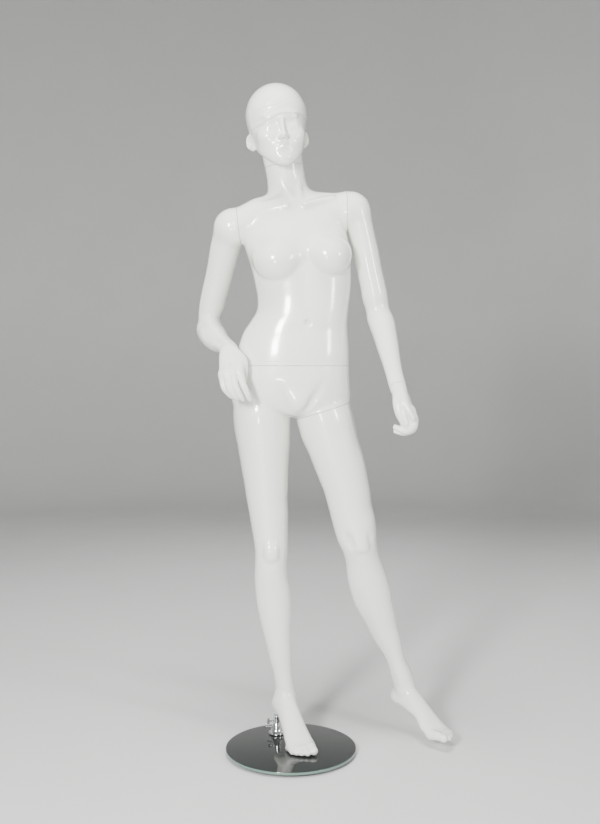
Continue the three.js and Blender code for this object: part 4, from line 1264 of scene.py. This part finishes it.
def screw(name, node, body, shank, head_length, knurls):
    """A clamping screw that runs in from the figure's right: knurled head, or a small socket head with a
    round recess.
    """
    low, high = box_mm(node)
    centre = (low + high) / 2
    head = (high[2] - low[2]) / 2
    length = high[0] - low[0]
    neck = length - head_length
    origin = (high[0], centre[1], centre[2])
    profile = [[0, 0], [shank - 0.7, 0], [shank, 0.7]]
    pitch, h = 0.8, 0.9
    while h < neck - 1.6:
        profile += [[shank, h + pitch * 0.5], [shank - 0.35, h + pitch]]
        h += pitch
    profile += [[shank, neck - 1.2], [shank, neck - 0.4], [head - 1.2, neck - 0.01]]
    profile += arc((head - 0.7, neck + 0.7), 0.7, -90, 0, 3)
    profile += arc((head - 0.9, length - 0.9), 0.9, 0, 90, 4)
    if knurls:
        profile += [[head * 0.55, length], [head * 0.45, length - 0.5], [0, length - 0.6]]
    else:
        profile += [[1.7, length], [1.6, length - 0.3], [1.5, length - 2.2], [0, length - 2.2]]

    def relief(angle, height, radius):
        if knurls and neck + 0.6 < height < length - 0.8 and radius > head - 0.3:
            return -0.45 * (0.5 + 0.5 * math.cos(knurls * angle))
        return 0

    if knurls:
        mid = [[head, neck + 0.7 + (head_length - 1.6) * t] for t in (0.08, 0.5, 0.92)]
        at = next(i for i, p in enumerate(profile) if p[1] > length - 0.95 and p[0] > head - 0.3)
        profile = profile[:at] + mid + profile[at:]
    around = 208 if knurls else 48
    turned_piece(name, node, profile, "chrome", body, origin, axis=(-1, 0, 0), around=around, relief=relief)


def build_bolt():
    """The washer and the hexagon bolt under the glass."""
    washer = ring_profile(4.4, 9.9, *span_of("base_washer"), 0.3)
    turned_piece("washer_ring", "base_washer", washer, "fitting_steel", "base", closed=True)
    bottom, top = span_of("base_bolt")
    head_top = bottom + 2.8
    sector = math.pi / 3

    def hexagon(angle, height, radius):
        if height < head_top + 0.01 and radius > 5.0:
            return radius * (math.cos(sector / 2) / math.cos((angle % sector) - sector / 2) - 1)
        return 0

    profile = [[0, bottom], [5.6, bottom], [6.8, bottom + 0.5], [6.9, head_top]]
    profile += [[4, head_top], [4, top - 0.6], [3.4, top], [0, top]]
    turned_piece("bolt_turned", "base_bolt", profile, "fitting_steel", "base", around=72, relief=hexagon)


def build_pads():
    for node in ["centre_pad"] + [f"edge_pad_{i}" for i in range(1, 7)]:
        bottom, top = span_of(node)
        profile = [[0, bottom]] + arc((7.6, bottom + 1.3), 1.3, -90, 0, 5)
        profile += arc((8.5, top - 0.4), 0.4, 0, 90, 3) + [[0, top]]
        turned_piece(node + "_foot", node, profile, "rubber", "base", origin=(*centre_of(node)[:2], 0))


def build_waist():
    at = SEAMS["waist"][0]
    bottom, top = span_of("waist_post_plate")
    face = WAIST_Z - SEAM_GAP / 2
    plate_radius, plate_edge = 70, 0.8
    profile = [[0, bottom]]
    profile += arc((plate_radius - plate_edge, bottom + plate_edge), plate_edge, -90, 0, 3)
    profile += arc((plate_radius - plate_edge, face - plate_edge), plate_edge, 0, 90, 3)
    profile += [[15.4, face], [14.4, face + 0.4], [14, face + 1.4], [14, top - 2.5], [11.8, top], [0, top]]
    spot = (at[0], at[1], 0)
    turned_piece("waist_post", "waist_post_plate", profile, "fitting_steel", "lower_body", spot, around=128)
    pin = "waist_locating_pin"
    profile = rod_profile(radius_of(pin), *span_of(pin), 1.3)
    spot = (*centre_of(pin)[:2], 0)
    turned_piece("waist_pin", pin, profile, "fitting_steel", "lower_body", spot, around=48)


def dress_frame_nodes():
    """The fittings inside the seams stay as they are and only take a finish."""
    for node in frame["nodes"].values():
        if node.hide_render:
            continue
        node.data.materials.clear()
        node.data.materials.append(LOOKS["fitting_steel"])


# ---------------------------------------------------------------- the figure

COARSER = 1.0

TORSO_SEAMS = [
    ("waist", 1),
    near("neck", -1, 110),
    near("right_shoulder", -1, 88),
    near("left_shoulder", -1, 60),
]
RIGHT_ARM_SEAMS = [("right_shoulder", 1), near("right_wrist", -1, 90)]
LEFT_ARM_SEAMS = [("left_shoulder", 1), near("left_wrist", -1, 90)]
SHELLS = [
    # node, field, cell in mm, body, seams
    ("lower_body_shell", lower_body, 3.0, "lower_body", [("waist", -1), ("left_thigh", -1, on_left_thigh)]),
    ("left_leg_shell", left_leg, 3.0, "left_leg", [("left_thigh", 1)]),
    ("torso_shell", torso, 3.0, "torso", TORSO_SEAMS),
    ("head_shell", head, 1.6, "head", [("neck", 1, on_neck_stub)]),
    ("right_arm_shell", right_arm, 2.4, "right_arm", RIGHT_ARM_SEAMS),
    ("left_arm_shell", left_arm, 2.4, "left_arm", LEFT_ARM_SEAMS),
    ("right_hand", lambda P: hand(P, "right"), 1.3, "right_hand", [("right_wrist", 1)]),
    ("left_hand", lambda P: hand(P, "left"), 1.3, "left_hand", [("left_wrist", 1)]),
]

for node, field, cell, body, seams in SHELLS:
    build_shell(node, field, cell * COARSER, body, seams)
build_glass()
build_cone()
build_rod()
screw("clamping_thumbscrew", "rod_thumbscrew", "thumbscrew", shank=2.5, head_length=7.0, knurls=26)
screw("clamping_set_screw", "rod_set_screw", "set_screw", shank=2.0, head_length=4.5, knurls=0)
build_bolt()
build_pads()
build_waist()
dress_frame_nodes()


# ---------------------------------------------------------------- floor, light and camera


def build_floor():
    """A pale round floor, half a millimetre under the pads, that curves up into a wall on every side, well
    away from the figure."""
    flat, bend, rise, around = 4.8, 1.6, 5.5, 96
    line = [(0.6, 0.0), (1.6, 0.0), (3.2, 0.0), (flat, 0.0)]
    for k in range(1, 13):
        a = math.pi / 2 * k / 12
        line.append((flat + bend * math.sin(a), bend - bend * math.cos(a)))
    line.append((flat + bend, rise))
    bm = bmesh.new()
    rings = []
    for r, z in line:
        angles = [2 * math.pi * k / around for k in range(around)]
        rings.append([bm.verts.new((r * math.cos(a), r * math.sin(a), z)) for a in angles])
    middle = bm.verts.new((0, 0, 0))
    for k in range(around):
        j = (k + 1) % around
        bm.faces.new((middle, rings[0][k], rings[0][j]))
        for inner, outer in zip(rings[:-1], rings[1:]):
            bm.faces.new((inner[k], outer[k], outer[j], inner[j]))
    made = object_from("studio_floor", bm)
    made.data.materials.append(matt_floor())
    made.location.z = -0.0005


def softbox(name, at, look_at, width, height, power, glossy=True):
    data = bpy.data.lights.new(name, "AREA")
    data.shape, data.size, data.size_y = "RECTANGLE", width, height
    data.energy = power
    lamp = bpy.data.objects.new(name, data)
    bpy.context.scene.collection.objects.link(lamp)
    lamp.location = at
    aim = Vector(look_at) - Vector(at)
    lamp.rotation_euler = aim.to_track_quat("-Z", "Y").to_euler()
    lamp.visible_camera = False
    lamp.visible_glossy = glossy


def build_studio():
    softbox("key_box", (-1.25, -3.1, 1.9), (0.0, 0.0, 1.05), 0.5, 0.75, 205)
    softbox("low_box", (-0.7, -3.3, 0.55), (0.0, 0.0, 0.7), 0.35, 0.4, 34)
    softbox("side_box", (2.5, -1.9, 1.6), (0.1, 0.0, 1.0), 0.4, 0.8, 46)
    softbox("top_box", (-0.2, -0.7, 3.4), (0.0, 0.0, 0.9), 1.2, 0.8, 95, glossy=False)
    softbox("back_left", (-2.2, 1.4, 1.7), (0.0, 0.0, 1.1), 0.4, 1.6, 6)
    softbox("back_right", (2.3, 1.3, 1.7), (0.0, 0.0, 1.1), 0.4, 1.6, 5)
    softbox("behind_box", (0.3, 3.0, 2.4), (0.0, 0.0, 1.1), 1.6, 1.2, 34, glossy=False)
    world = bpy.data.worlds.new("studio")
    world.use_nodes = True
    background = world.node_tree.nodes["Background"]
    background.inputs["Color"].default_value = (0.97, 0.98, 1.0, 1)
    background.inputs["Strength"].default_value = 0.22
    bpy.context.scene.world = world


def build_camera():
    """At chest height, 2.69 m in front of the base."""
    data = bpy.data.cameras.new("shop_camera")
    data.sensor_width = 36.0
    data.lens = 43.7
    data.shift_y = -0.056
    data.clip_start, data.clip_end = 0.05, 60
    camera = bpy.data.objects.new("shop_camera", data)
    bpy.context.scene.collection.objects.link(camera)
    camera.location = (0.0245, -2.69, 1.037)
    camera.rotation_euler = (math.radians(90), 0, 0)
    bpy.context.scene.camera = camera


build_floor()
build_studio()
build_camera()
